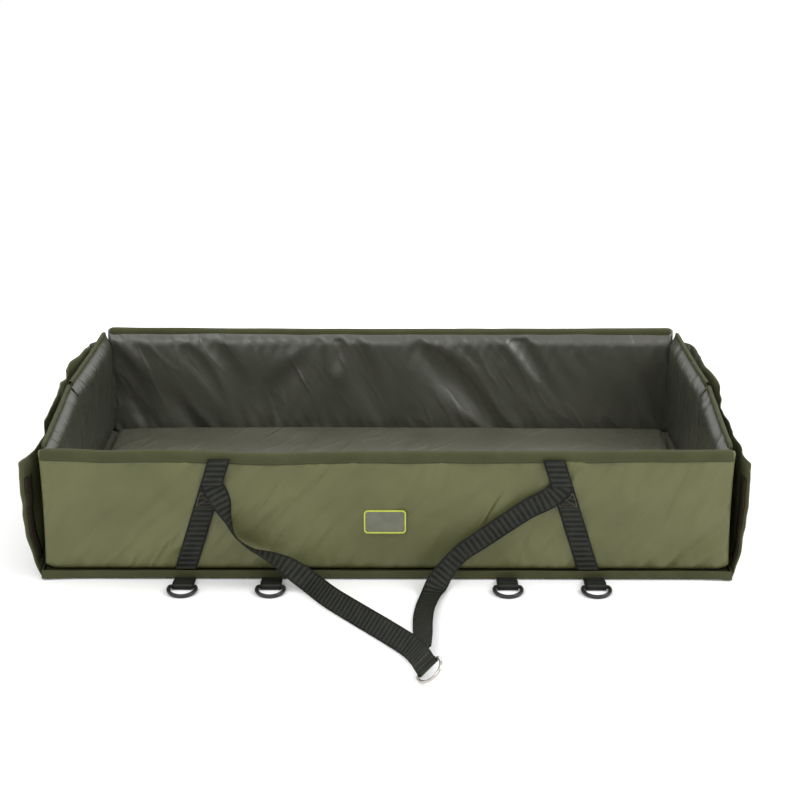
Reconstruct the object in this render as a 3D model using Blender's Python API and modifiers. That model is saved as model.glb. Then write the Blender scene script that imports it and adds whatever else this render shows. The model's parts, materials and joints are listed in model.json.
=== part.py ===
"""Folding unhooking mat: a padded tray with four soft walls, webbing handle and peg rings.

Metres, +Z up, +X to the right, +Y to the back. The origin is the middle of the underside.
The base is two padded halves joined by a thin strip, each end wall is creased in its middle,
and so the tray folds flat like a paper bag, with the long walls upright.
"""

import math

import bmesh
import bpy
from mathutils import Matrix, Vector

# Driving dimensions
width = 1.000
depth = 0.600
height = 0.205

# Clearances and cloth
gap = 0.0003
cloth = 0.0012
webbing_width = 0.032
webbing_thick = 0.0016
floor_clearance = 0.0002
foam_clearance = 0.0012
leg_clearance = 0.0010
wing_reach = 0.0030

# Base
base_cover_height = 0.0120
spine_width = 0.040
spine_layer = 0.0012
lip_width = 0.0037
lip_top = 0.0145
lip_bottom = 0.0022
floor_pad_top = 0.0255
floor_pad_edge = 0.0035
floor_pad_crown = 0.0015
fold_axis_height = 0.0030

# Walls
wall_thick = 0.028
end_thick = 0.020
wall_foot = lip_top + gap
end_foot = 0.0262
wall_crown = 0.0030
wall_draw = 0.0020
front_sag = 0.0030
front_drop = 0.0060
end_drop = 0.0040
back_tuck = 0.0100
long_roll = 0.0130
end_roll = 0.0070
end_pinch = 0.0060
end_bow = math.radians(2.2)
crease_gap = 0.0025
crease_mitre = 0.0200
binding_thick = 0.0011
binding_drop = 0.0140

# Webbing on the front wall
strap_top_x = 0.2410
strap_bottom_x = 0.2915
strap_top_z = 0.1820
strap_bottom_z = 0.0215
handle_root_z = 0.1380
keeper_bottom_z = 0.1400
keeper_layer = 2.9

# Patch
patch_width = 0.0610
patch_height = 0.0360
patch_thick = 0.0014
patch_rim = 0.0024
patch_rim_thick = 0.0026
patch_corner = 0.0060
patch_x = -0.0023
patch_z = 0.0914

# Peg rings
ring_outer_share = 0.596
ring_inner_share = 0.342
ring_shift_share = 0.008
ring_bar_reach = 0.0375
ring_wire = 0.0028
ring_inside = 0.0340
ring_depth = 0.0295
ring_shoulder = 0.0080
tab_width = 0.0300

# Handle ring
handle_ring_wire = 0.0022
handle_ring_inside = 0.0340
handle_ring_depth = 0.0280
handle_ring_shoulder = 0.0060
handle_ring_shares = (0.1124, -2.0347, 0.0854)
handle_ring_bar = Vector((0.71, 0.24, 0.66)).normalized()
handle_tail = 0.0120

# End flaps
flap_height = 0.2050
flap_end_gap = 0.0020
flap_flare = 0.0160
flap_wave = 0.0070
flap_dip_share = 0.10
flap_dip_place_share = 0.6
flap_ripple_share = 9.0
flap_phase_share = 1.2
flap_lean_power = 2.2
flap_corner_share = 6.0
flap_foot_share = 3.0
tape_width = 0.0200
tape_inset = 0.0060
tape_bottom = 0.0250
tape_top = 0.1700
tape_thick = 0.0012
tape_lift = 0.0021

# Cells of the meshes
long_cells = 20
end_cells = 7
flap_cells = 26
flap_rise_cells = 6
arc_cells = 8
leg_cells = 3
weld_share = 0.05

# Rows up a padded face, and how far each lies in: on the outer face as a share of the crown,
# and on the inner face as a share of the crown at the foot and of the rolled edge at the top
row_shares = (-1.0, -0.8, -0.4, 0.1, 0.5, 0.72, 0.83, 1.0)
outer_inset_shares = (0.1, 0.1, 0.0, 0.0, 0.1, 0.4, 1.0, 1.0)
inner_foot_shares = (1.0, 0.3, 0.0, 0.0, 0.0, 0.0, 0.0, 0.0)
inner_roll_shares = (0.0, 0.0, 0.0, 0.0, 0.05, 0.3, 1.0, 1.0)

# The handle's legs, root first: places as shares of half the width, half the depth and the
# height, each with the direction across the webbing; None lies under the keeper on the wall
left_leg_shares = (
    ((-0.5110, None, 0.7317), (0.96, 0.00, 0.28)),
    ((-0.4980, None, 0.6683), (0.95, 0.02, 0.30)),
    ((-0.4740, -1.0433, 0.5805), (0.75, 0.62, 0.12)),
    ((-0.4546, -1.0600, 0.4761), (0.25, 0.92, -0.30)),
    ((-0.4310, -1.0667, 0.3561), (-0.08, 0.93, -0.36)),
    ((-0.3900, -1.0717, 0.2732), (0.04, 0.94, -0.33)),
    ((-0.3560, -1.0750, 0.2268), (0.20, 0.95, -0.18)),
    ((-0.3120, -1.0800, 0.1683), (0.38, 0.89, 0.15)),
    ((-0.2740, -1.0967, 0.1244), (0.50, 0.68, 0.50)),
    ((-0.2194, -1.1333, 0.0805), (0.54, 0.44, 0.70)),
    ((-0.1520, -1.2933, 0.0683), (0.53, 0.38, 0.75)),
    ((-0.0824, -1.4767, 0.0659), (0.53, 0.37, 0.76)),
    ((0.0124, -1.6700, 0.0668), (0.56, 0.36, 0.74)),
    ((0.0686, -1.8220, 0.0707), (0.64, 0.30, 0.71)),
    ((0.0940, -1.9433, 0.0902), (0.70, 0.25, 0.67)),
)
right_leg_shares = (
    ((0.5140, None, 0.7317), (0.90, 0.00, -0.40)),
    ((0.5020, None, 0.6683), (0.78, 0.00, -0.62)),
    ((0.4660, -1.0250, 0.5854), (0.58, 0.00, -0.81)),
    ((0.4080, -1.0300, 0.5024), (0.45, 0.10, -0.88)),
    ((0.3400, -1.0433, 0.4220), (0.45, 0.15, -0.88)),
    ((0.2720, -1.0533, 0.3366), (0.52, 0.20, -0.83)),
    ((0.2160, -1.0667, 0.2439), (0.66, 0.30, -0.68)),
    ((0.1780, -1.0867, 0.1512), (0.80, 0.35, -0.45)),
    ((0.1520, -1.1267, 0.0756), (0.92, 0.32, -0.16)),
    ((0.1320, -1.2000, 0.0332), (0.97, 0.18, 0.10)),
    ((0.1160, -1.3167, 0.0332), (0.97, 0.10, 0.22)),
    ((0.1060, -1.4500, 0.0439), (0.92, 0.05, 0.38)),
    ((0.1030, -1.6000, 0.0576), (0.84, 0.10, 0.53)),
    ((0.1030, -1.7553, 0.0673), (0.75, 0.18, 0.62)),
    ((0.1000, -1.8800, 0.0683), (0.71, 0.24, 0.66)),
)

# Base colour, roughness, metallic
OLIVE = ((0.150, 0.158, 0.068, 1.0), 0.55, 0.0)
DARK_OLIVE = ((0.075, 0.085, 0.030, 1.0), 0.75, 0.0)
LINER = ((0.052, 0.055, 0.042, 1.0), 0.42, 0.0)
FOAM = ((0.300, 0.300, 0.280, 1.0), 0.95, 0.0)
WEBBING = ((0.030, 0.032, 0.027, 1.0), 0.80, 0.0)
PLASTIC = ((0.012, 0.012, 0.012, 1.0), 0.40, 0.0)
CHROME = ((0.720, 0.700, 0.660, 1.0), 0.18, 1.0)
TAPE = ((0.085, 0.065, 0.035, 1.0), 0.95, 0.0)
LIME = ((0.550, 0.600, 0.060, 1.0), 0.50, 0.0)
GREY = ((0.180, 0.190, 0.150, 1.0), 0.60, 0.0)


# Building tools


def material(name, finish):
    colour, roughness, metallic = finish
    made = bpy.data.materials.new(name + "_finish")
    made.use_nodes = True
    shader = made.node_tree.nodes["Principled BSDF"]
    shader.inputs["Base Color"].default_value = colour
    shader.inputs["Roughness"].default_value = roughness
    shader.inputs["Metallic"].default_value = metallic
    made.diffuse_color = colour
    return made


class Body:
    """Pieces that move together: an empty on the joint's axis carries them."""

    def __init__(self, name, place, carrier=None):
        self.place = Vector(place)
        self.empty = bpy.data.objects.new(name, None)
        self.empty.empty_display_size = wall_thick
        parts.objects.link(self.empty)
        start = carrier.place if carrier else Vector()
        self.empty.location = self.place - start
        if carrier:
            self.empty.parent = carrier.empty

    def add(self, name, data, finish):
        data.materials.append(material(name, finish))
        made = bpy.data.objects.new(name, data)
        parts.objects.link(made)
        made.parent = self.empty
        made.matrix_parent_inverse = Matrix.Translation(-self.place)
        return made


def mesh_from(name, shape):
    mesh = bpy.data.meshes.new(name)
    shape.to_mesh(mesh)
    shape.free()
    return mesh


def sheet(body, name, count, place, thick, finish):
    """Cloth or webbing: a grid whose corners place(i, j) gives, made thick both ways.

    Corners that place lays on one point, as where two turned rims meet, become one.
    """
    rows, columns = count
    shape = bmesh.new()
    bmesh.ops.create_grid(
        shape, x_segments=rows - 1, y_segments=columns - 1, size=1.0
    )
    for vert in shape.verts:
        i = round((vert.co.x + 1.0) / 2.0 * (rows - 1))
        j = round((vert.co.y + 1.0) / 2.0 * (columns - 1))
        vert.co = place(i, j)
    bmesh.ops.remove_doubles(shape, verts=shape.verts, dist=gap * weld_share)
    bmesh.ops.triangulate(shape, faces=shape.faces, quad_method="FIXED")
    mesh = mesh_from(name, shape)
    mesh.shade_smooth()
    made = body.add(name, mesh, finish)
    solidify = made.modifiers.new("Thickness", "SOLIDIFY")
    solidify.thickness = thick
    solidify.offset = 0.0
    return made


def solid(body, name, cuts, place, finish):
    """A soft block: a cube cut at the unit places in cuts, then shaped by place."""
    shape = bmesh.new()
    bmesh.ops.create_cube(shape, size=2.0)
    for axis, shares in enumerate(cuts):
        normal = Vector([float(n == axis) for n in range(3)])
        for share in shares:
            everything = shape.verts[:] + shape.edges[:] + shape.faces[:]
            bmesh.ops.bisect_plane(
                shape, geom=everything, plane_co=normal * share, plane_no=normal
            )
    for vert in shape.verts:
        vert.co = place(*vert.co)
    if shape.calc_volume(signed=True) < 0:
        bmesh.ops.reverse_faces(shape, faces=shape.faces)
    bmesh.ops.triangulate(shape, faces=shape.faces, quad_method="FIXED")
    mesh = mesh_from(name, shape)
    mesh.shade_smooth()
    return body.add(name, mesh, finish)


def block(body, name, low, high, finish):
    """A plain slab between two corners."""
    middle = (Vector(low) + Vector(high)) / 2
    reach = (Vector(high) - Vector(low)) / 2

    def place(u, v, w):
        return middle + Vector((u * reach.x, v * reach.y, w * reach.z))

    made = solid(body, name, ((), (), ()), place, finish)
    made.data.shade_flat()
    return made


def inner_shares(cells):
    return [2.0 * n / cells - 1.0 for n in range(1, cells)]


def crowded_shares(cells, edge_share):
    """Cuts between two that lie close to a cushion's edges, where its side turns over."""
    middle = [edge_share * share for share in inner_shares(cells)]
    return [-edge_share] + middle + [edge_share]


def fullness(u, v, power):
    """1 in the middle of a padded face and 0 along its seams."""
    return (1.0 - abs(u) ** power) * (1.0 - abs(v) ** power)


def smooth_route(stations):
    """Stations of (centre, across), with leg_cells steps of a smooth curve between each two."""
    rows = [(Vector(centre), Vector(across)) for centre, across in stations]
    rows = [rows[0]] + rows + [rows[-1]]
    made = []
    for a, b, c, d in zip(rows, rows[1:], rows[2:], rows[3:]):
        for step in range(leg_cells):
            t = step / leg_cells
            mixed = [
                (
                    2 * b[n]
                    + (c[n] - a[n]) * t
                    + (2 * a[n] - 5 * b[n] + 4 * c[n] - d[n]) * t**2
                    + (3 * b[n] - a[n] - 3 * c[n] + d[n]) * t**3
                )
                / 2
                for n in range(2)
            ]
            made.append(mixed)
    made.append(list(rows[-1]))
    return made


def webbing(body, name, stations, wide, finish=WEBBING):
    """A flat strap through stations of (centre, across), turned as across says."""

    def place(i, j):
        centre, across = stations[i]
        return Vector(centre) + Vector(across) * wide * (j - 0.5)

    return sheet(body, name, (len(stations), 2), place, webbing_thick, finish)


def squared(stations):
    """The same stations, with each across at right angles to the route."""
    last = len(stations) - 1
    made = []
    for n, (centre, across) in enumerate(stations):
        along = stations[min(n + 1, last)][0] - stations[max(n - 1, 0)][0]
        along.normalize()
        made.append((centre, (across - along * across.dot(along)).normalized()))
    return made


def ring(body, name, place, bar, out, sizes, finish):
    """A D-shaped ring of round wire: a straight bar through place, bowed towards out."""
    wire, inside, reach, shoulder = sizes
    half = inside / 2 + wire
    outline = [(-half, wire), (-half + wire, 0.0), (half - wire, 0.0), (half, wire)]
    for n in range(arc_cells + 1):
        angle = math.pi * n / arc_cells
        bow = (reach - shoulder) * math.sin(angle)
        outline.append((half * math.cos(angle), shoulder + bow))
    curve = bpy.data.curves.new(name, "CURVE")
    curve.dimensions = "3D"
    curve.bevel_depth = wire
    curve.bevel_resolution = 2
    spline = curve.splines.new("POLY")
    spline.points.add(len(outline) - 1)
    for point, (u, v) in zip(spline.points, outline):
        point.co = (*(place + bar * u + out * v), 1.0)
    spline.use_cyclic_u = True
    return body.add(name, curve, finish)


# Base


def base_half(body, name, side):
    """One padded half of the base: side is -1 for the front and 1 for the back."""
    half = width / 2
    outer = side * depth / 2
    inner = side * (spine_width / 2 + gap)
    low_y, high_y = min(outer, inner), max(outer, inner)
    base_cover(body, name + "_base_cover", low_y, high_y)

    inset = cloth + gap
    block(
        body,
        name + "_base_foam",
        (-half + inset, low_y + inset, inset),
        (half - inset, high_y - inset, base_cover_height - gap),
        FOAM,
    )

    pad_low = base_cover_height + gap
    pad_outer = side * (depth / 2 - wall_thick - 2 * gap)
    middle, reach = (pad_outer + inner) / 2, abs(pad_outer - inner) / 2
    pad_rise = floor_pad_top - floor_pad_crown - pad_low - floor_pad_edge

    def pad_place(u, v, w):
        x, y = u * (half - gap), middle + v * reach
        if w < 0:
            return x, y, pad_low
        full = math.sqrt(max(0.0, fullness(u, v, 12)))
        crown = floor_pad_crown * fullness(u, v, 2)
        return x, y, pad_low + floor_pad_edge + pad_rise * full + crown

    pad_cuts = (crowded_shares(11, 0.985), crowded_shares(6, 0.96), ())
    solid(body, name + "_floor_pad", pad_cuts, pad_place, LINER)

    lip_x = half + gap + lip_width / 2
    lip_y = outer + side * (gap + lip_width / 2)
    route = [(-lip_x, inner), (-lip_x, lip_y), (lip_x, lip_y), (lip_x, inner)]

    def lip_place(i, j):
        return *route[i], (lip_bottom, lip_top)[j]

    lip = sheet(
        body, name + "_base_binding", (4, 2), lip_place, lip_width, DARK_OLIVE
    )
    lip.modifiers["Thickness"].use_even_offset = True
    lip.data.shade_flat()


def base_cover(body, name, low_y, high_y):
    """The shallow open tray of cloth under one half of the base."""
    shape = bmesh.new()
    bmesh.ops.create_cube(shape, size=1.0)
    for vert in shape.verts:
        vert.co.x *= width
        vert.co.y = low_y if vert.co.y < 0 else high_y
        vert.co.z = 0.0 if vert.co.z < 0 else base_cover_height
    top = [face for face in shape.faces if face.normal.z > 0.5]
    bmesh.ops.delete(shape, geom=top, context="FACES")
    cover = body.add(name, mesh_from(name, shape), DARK_OLIVE)
    skin = cover.modifiers.new("Thickness", "SOLIDIFY")
    skin.thickness = cloth
    skin.offset = -1.0
    skin.use_even_offset = True


def spine(body):
    """The two unpadded layers between the halves of the base, where it folds."""
    reach_x, reach_y = width / 2, spine_width / 2
    liner_low = spine_layer + gap
    block(
        body,
        "spine_cover",
        (-reach_x, -reach_y, 0.0),
        (reach_x, reach_y, spine_layer),
        DARK_OLIVE,
    )
    block(
        body,
        "spine_liner",
        (-reach_x, -reach_y, liner_low),
        (reach_x, reach_y, liner_low + spine_layer),
        LINER,
    )


# Walls


class Wall:
    """A padded wall in its own frame: along x, outer face at y 0, foot at z 0.

    mitre is -1 or 1 for the end that meets a crease, or 0 for a wall with square ends.
    """

    def __init__(self, body, name, size, edges, cells, mitre, matrix):
        self.body, self.name, self.cells, self.mitre = body, name, cells, mitre
        self.length, self.tall, self.thick = size
        self.sag, self.roll, self.pinch = edges
        self.matrix = matrix
        self.panel_top = self.tall - 2 * binding_thick - gap - cloth / 2
        self.columns = [-1.0] + inner_shares(cells) + [1.0]

    def ends(self, y, inset):
        """Where the wall starts and stops along x, at a depth y into it."""
        low, high = -self.length / 2 + inset, self.length / 2 - inset
        cut = crease_gap + crease_mitre * (1.0 - y / self.thick)
        if self.mitre < 0:
            low += cut
        if self.mitre > 0:
            high -= cut
        return low, high

    def at(self, u, v, y, inset, top):
        """The point at unit places u along and v up, with the sides drawn in."""
        low, high = self.ends(y, inset)
        x = (low + high) / 2 + u * ((high - low) / 2 - wall_draw * (1.0 - v * v))
        sag = self.sag * (1.0 - u * u) * max(0.0, v)
        z = inset + (v + 1.0) / 2 * (top - inset) - sag
        return self.matrix @ Vector((x, y, z))

    def row(self, v):
        """A row's height in the middle of the wall, in the wall's frame."""
        sag = self.sag * max(0.0, v)
        rise = (v + 1.0) / 2 * (self.panel_top - cloth / 2)
        return Vector((0.0, 0.0, cloth / 2 + rise - sag))

    def face(self, u, v, inner=False):
        """How far a face lies in from its outermost plane."""
        for n in range(len(row_shares) - 1):
            low, high = row_shares[n : n + 2]
            if v <= high:
                break
        t = (v - low) / (high - low)

        def row(shares):
            return shares[n] * (1.0 - t) + shares[n + 1] * t

        seam_side = abs(u) ** 8
        if inner:
            inset = wall_crown * row(inner_foot_shares) + self.roll * row(inner_roll_shares)
            return max(inset, wall_crown * seam_side)
        return max(wall_crown * row(outer_inset_shares), self.pinch * seam_side)

    def unit_height(self, x, z):
        """The unit place up the wall of a point at x and z in the wall's frame."""
        share = (z - cloth / 2) / (self.panel_top - cloth / 2)
        u = x / (self.length / 2)
        sag = self.sag * (1.0 - u * u) / (self.panel_top - cloth / 2)
        return (2.0 * share - 1.0) / (1.0 - sag) if share > 0.5 else 2.0 * share - 1.0

    def panel(self, kind, inner, finish):
        """The cover or the liner: a crowned face with its rim turned in to the seam."""
        us = [-1.0] + self.columns + [1.0]
        vs = (-1.0,) + row_shares + (1.0,)

        def place(i, j):
            rim = i in (0, len(us) - 1) or j in (0, len(vs) - 1)
            near = self.face(us[i], vs[j], inner) + cloth / 2
            if rim:
                near = self.seam(us[i], vs[j], inner) - gap
            y = self.thick - near if inner else near
            return self.at(us[i], vs[j], y, cloth / 2, self.panel_top)

        sheet(self.body, self.name + kind, (len(us), len(vs)), place, cloth, finish)

    def seam(self, u, v, inner):
        """How far in from a face's outermost plane the seam lies, midway between the faces."""
        far = self.thick - self.face(u, v, not inner)
        return (self.face(u, v, inner) + far) / 2

    def foam(self):
        inset = 2 * cloth + gap
        top = self.panel_top - cloth - inset
        skin = cloth + foam_clearance

        def place(u, w, v):
            y = self.face(u, v) + skin
            if w > 0:
                y = self.thick - self.face(u, v, True) - skin
            return self.at(u, v, y, inset, top)

        cuts = (self.columns[1:-1], (), row_shares[1:-1])
        solid(self.body, self.name + "_foam", cuts, place, FOAM)

    def binding(self):
        """Tape folded over the top edge, from the outer face to the inner one."""
        skin = binding_thick / 2
        near, bend = wall_crown - gap - skin, wall_crown / 2
        far = self.thick - self.roll + gap + skin
        profile = [
            (near, self.tall - binding_drop),
            (near, self.tall - skin - bend),
            (near + bend, self.tall - skin),
            (far - bend, self.tall - skin),
            (far, self.tall - skin - bend),
            (far, self.tall - binding_drop),
        ]

        def place(i, j):
            u = self.columns[i]
            y, z = profile[j]
            low, high = self.ends(y, gap)
            x = (low + high) / 2 + u * (high - low) / 2
            return self.matrix @ Vector((x, y, z - self.sag * (1.0 - u * u)))

        count = (len(self.columns), len(profile))
        name = self.name + "_binding"
        sheet(self.body, name, count, place, binding_thick, DARK_OLIVE)

    def build(self):
        self.panel("_cover", False, OLIVE)
        self.panel("_liner", True, LINER)
        self.foam()
        self.binding()


def long_wall(body, name, side):
    """The front wall (side -1) or the back wall (side 1)."""
    turn = 0.0 if side < 0 else math.pi
    place = Vector((0.0, side * depth / 2, wall_foot))
    matrix = Matrix.Translation(place) @ Matrix.Rotation(turn, 4, "Z")
    length, top, sag = width - 2 * back_tuck, height, wall_draw
    if side < 0:
        length, top, sag = width, height - front_drop, front_sag
    size = (length, top - wall_foot, wall_thick)
    edges = (sag, long_roll, wall_crown)
    wall = Wall(body, name, size, edges, long_cells, 0, matrix)
    wall.build()
    return wall


def corner(side_x, side_y):
    """The upright axis on which a half of an end wall folds, inside the tray's corner."""
    clearance = end_thick * math.sin(end_bow) + 2 * gap
    x = side_x * (width / 2 - end_thick)
    y = side_y * (depth / 2 - wall_thick - clearance)
    return Vector((x, y, end_foot))


def wing(body, name, side_x, side_y):
    """Half an end wall, from a corner of the tray to the crease in the middle."""
    hinge = corner(side_x, side_y)
    length = abs(hinge.y) + wing_reach
    bow = Matrix.Rotation(side_x * side_y * end_bow, 4, "Z")
    stand = Matrix.Rotation(side_x * math.pi / 2, 4, "Z")
    start = Vector((side_x * end_thick, side_y * (wing_reach - length / 2), 0.0))
    matrix = Matrix.Translation(hinge) @ bow @ Matrix.Translation(start) @ stand
    mitre = -1 if side_x * side_y > 0 else 1
    size = (length, height - end_drop - end_foot, end_thick)
    edges = (wall_draw, end_roll, end_pinch)
    Wall(body, name, size, edges, end_cells, mitre, matrix).build()


# Straps and handle


def on_front(wall, x, z, out):
    """A point in front of the front wall's outer face, out from the cloth."""
    v = wall.unit_height(x, z - wall_foot)
    return Vector((x, -depth / 2 + wall.face(x / (width / 2), v) - out, z))


def layer_out(layer):
    """How far the middle of a layer of webbing is from the cloth; 0 lies on the cloth."""
    return gap + webbing_thick / 2 + layer * (webbing_thick + gap)


def strap_line(side, z):
    share = (strap_top_z - z) / (strap_top_z - strap_bottom_z)
    return side * (strap_top_x + share * (strap_bottom_x - strap_top_x))


def front_strap(body, wall, name, side, bottom, layer):
    """A strap sewn on the front wall along the slanted line; layer 0 lies on the cloth."""
    rows = [wall.matrix @ wall.row(share) for share in row_shares]
    heights = [row.z for row in rows if bottom < row.z < strap_top_z]
    stations = []
    for z in [bottom] + heights + [strap_top_z]:
        centre = on_front(wall, strap_line(side, z), z, layer_out(layer))
        stations.append((centre, (1.0, 0.0, 0.0)))
    webbing(body, name, stations, webbing_width)


def leg_route(wall, shares):
    """A leg's stations, from its root on the wall down and over the ground."""
    out = layer_out(1) + leg_clearance
    stations = []
    for (share_x, share_y, share_z), across in shares:
        x, z = share_x * width / 2, share_z * height
        if share_y is None:
            centre = on_front(wall, x, z, out)
        else:
            centre = (x, share_y * depth / 2, z)
        stations.append((centre, across))
    return squared(smooth_route(stations))


def ring_place():
    """The middle of the handle ring's bar."""
    share_x, share_y, share_z = handle_ring_shares
    return Vector((share_x * width / 2, share_y * depth / 2, share_z * height))


def handle(body, wall):
    webbing(body, "right_handle_leg", leg_route(wall, right_leg_shares), webbing_width)
    place = ring_place()
    out = ring_out(handle_ring_bar)
    up = handle_ring_bar.cross(out) * -1.0
    bend = handle_ring_wire + gap + webbing_thick / 2
    stations = leg_route(wall, left_leg_shares)
    for n in range(arc_cells + 1):
        angle = math.pi * (0.5 - n / arc_cells)
        turned = out * math.cos(angle) + up * math.sin(angle)
        stations.append((place + turned * bend, handle_ring_bar))
    tail = place - up * bend - out * handle_tail
    stations.append((tail, handle_ring_bar))
    webbing(body, "left_handle_leg", stations, webbing_width)


def ring_out(bar):
    """The direction away from the handle in which the ring lies, level with the ground."""
    out = Vector((0.0, 0.0, 1.0)).cross(bar) * -1.0
    return out.normalized()


# Peg rings

tab_layer_z = floor_clearance + webbing_thick / 2
tab_bend = ring_wire + gap + webbing_thick / 2
ring_bar_z = tab_layer_z + tab_bend
ring_bar_y = -depth / 2 - ring_bar_reach


def ring_tab(body, name, x):
    """Webbing from under the front edge, round the ring's bar and back on itself."""
    under_lip = -depth / 2 - gap - floor_clearance
    lip_face = -depth / 2 - gap - lip_width - gap
    path = [(under_lip, tab_layer_z), (lip_face, tab_layer_z)]
    for n in range(arc_cells + 1):
        angle = math.pi * n / arc_cells
        y = ring_bar_y - tab_bend * math.sin(angle)
        path.append((y, ring_bar_z - tab_bend * math.cos(angle)))
    path.append((lip_face, tab_layer_z + webbing_thick + gap))

    def place(i, j):
        y, z = path[i]
        return x + tab_width * (j - 0.5), y, z

    sheet(body, name, (len(path), 2), place, webbing_thick, WEBBING)


def peg_ring(body, name, x):
    rest = ring_wire + floor_clearance
    out = Vector((0.0, -ring_depth, rest - ring_bar_z)).normalized()
    place = Vector((x, ring_bar_y, ring_bar_z))
    sizes = (ring_wire, ring_inside, ring_depth, ring_shoulder)
    ring(body, name, place, Vector((1.0, 0.0, 0.0)), out, sizes, PLASTIC)


# Patch


def rounded_outline(curve, wide, tall, radius):
    spline = curve.splines.new("POLY")
    corners = ((1, 1, 0), (-1, 1, 1), (-1, -1, 2), (1, -1, 3))
    outline = []
    for side_x, side_z, quarter in corners:
        for n in range(arc_cells // 2 + 1):
            angle = math.pi / 2 * (quarter + 2 * n / arc_cells)
            x = side_x * (wide / 2 - radius) + radius * math.cos(angle)
            z = side_z * (tall / 2 - radius) + radius * math.sin(angle)
            outline.append((x, z))
    spline.points.add(len(outline) - 1)
    for point, (x, z) in zip(spline.points, outline):
        point.co = (x, z, 0.0, 1.0)
    spline.use_cyclic_u = True


def patch(body):
    """A bare rubber patch: a grey ground inside a raised rim."""
    inside = (patch_width - 2 * patch_rim, patch_height - 2 * patch_rim)
    inner_corner = patch_corner - patch_rim
    plates = (
        ("patch_ground", patch_thick, GREY),
        ("patch_rim", patch_rim_thick, LIME),
    )
    for name, thick, finish in plates:
        curve = bpy.data.curves.new(name, "CURVE")
        curve.dimensions = "2D"
        curve.fill_mode = "BOTH"
        curve.extrude = thick / 2
        if name == "patch_rim":
            rounded_outline(curve, patch_width, patch_height, patch_corner)
            rounded_outline(curve, *inside, inner_corner)
        else:
            ground = [size - 2 * gap for size in inside]
            rounded_outline(curve, *ground, inner_corner - gap)
        plate = body.add(name, curve, finish)
        plate.location = (patch_x, -depth / 2 - gap - thick / 2, patch_z)
        plate.rotation_euler = (math.pi / 2, 0.0, 0.0)


# End flaps


def flap_place(side, along, up, lift):
    """A point on an end flap: along from -1 at the front to 1, up from 0 to 1."""
    y = along * (depth / 2 - flap_end_gap)
    reach = depth / 2 - wall_thick
    bow = math.sin(end_bow) * reach * max(0.0, 1.0 - abs(y) / reach)
    ripple = math.sin(flap_ripple_share * along + flap_phase_share * side)
    wave = flap_wave * (1.0 + ripple) / 2
    flare = flap_flare * max(0.0, -along) ** flap_corner_share
    clear = width / 2 + 2 * gap + lip_width + cloth / 2
    x = clear + bow * min(1.0, flap_foot_share * up) - lift
    x += (wave + flare) * (1.0 - (1.0 - up) ** flap_lean_power)
    low = lip_bottom
    dip = flap_dip_share * min(1.0, max(0.0, -along) / flap_dip_place_share)
    return side * x, y, low + up * (flap_height * (1.0 - dip) - low)


def end_flap(body, name, side):
    count = (flap_cells + 1, flap_rise_cells + 1)

    def place(i, j):
        along = 2.0 * i / flap_cells - 1.0
        return flap_place(side, along, j / flap_rise_cells, 0.0)

    sheet(body, name + "_end_flap", count, place, cloth, DARK_OLIVE)


def flap_tape(body, name, side):
    """Hook-and-loop tape inside a flap's front edge, which holds the flap to the wall."""
    reach = depth / 2 - flap_end_gap
    front = tape_inset / reach - 1.0
    rise = flap_height - lip_bottom
    low, high = (tape_bottom - lip_bottom) / rise, (tape_top - lip_bottom) / rise

    def place(i, j):
        along = front + j * tape_width / reach
        up = low + i / flap_rise_cells * (high - low)
        return flap_place(side, along, up, tape_lift)

    count = (flap_rise_cells + 1, 2)
    sheet(body, name + "_flap_tape", count, place, tape_thick, TAPE)


# Assembly


def build():
    root = Body("base_spine", (0.0, 0.0, 0.0))
    spine(root)
    for name, side in (("front", -1), ("back", 1)):
        axis = (0.0, side * spine_width / 2, fold_axis_height)
        half = Body(name + "_base", axis, root)
        base_half(half, name, side)
        foot = (0.0, side * depth / 2, wall_foot)
        carrier = Body(name + "_wall_body", foot, half)
        wall = long_wall(carrier, name + "_wall", side)
        for end, side_x in (("left", -1), ("right", 1)):
            wing_body = Body(
                f"{end}_{name}_wing_body", corner(side_x, side), carrier
            )
            wing(wing_body, f"{end}_{name}_wing", side_x, side)
        if side < 0:
            front_fittings(half, carrier, wall)
    for end, side_x in (("left", -1), ("right", 1)):
        edge = (side_x * (width / 2 + lip_width), 0.0, lip_bottom)
        flap = Body(end + "_flap_body", edge, root)
        end_flap(flap, end, side_x)
        flap_tape(flap, end, side_x)


def front_fittings(half, carrier, wall):
    """What the front edge and the front wall carry: peg rings, straps, patch, handle."""
    places = (
        ("outer_left", -ring_outer_share),
        ("inner_left", -ring_inner_share),
        ("inner_right", ring_inner_share),
        ("outer_right", ring_outer_share),
    )
    for name, share in places:
        x = (share + ring_shift_share) * width / 2
        ring_tab(half, name + "_ring_tab", x)
        hinge = Body(name + "_ring_body", (x, ring_bar_y, ring_bar_z), half)
        peg_ring(hinge, name + "_peg_ring", x)
    for end, side_x in (("left", -1), ("right", 1)):
        name = f"front_{end}_strap"
        front_strap(carrier, wall, name, side_x, strap_bottom_z, 0)
        name = f"front_{end}_keeper"
        front_strap(carrier, wall, name, side_x, keeper_bottom_z, keeper_layer)
    patch(carrier)
    root_y = -depth / 2 - 2 * gap - 3 * webbing_thick / 2
    lift = Body("handle_body", (0.0, root_y, handle_root_z), carrier)
    handle(lift, wall)
    place = ring_place()
    hinge = Body("handle_ring_body", place, lift)
    sizes = (
        handle_ring_wire,
        handle_ring_inside,
        handle_ring_depth,
        handle_ring_shoulder,
    )
    out = ring_out(handle_ring_bar)
    ring(hinge, "handle_ring", place, handle_ring_bar, out, sizes, CHROME)


for old in list(bpy.data.objects):
    bpy.data.objects.remove(old, do_unlink=True)
parts = bpy.data.collections.new("unhooking_mat")
bpy.context.scene.collection.children.link(parts)
build()
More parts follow.
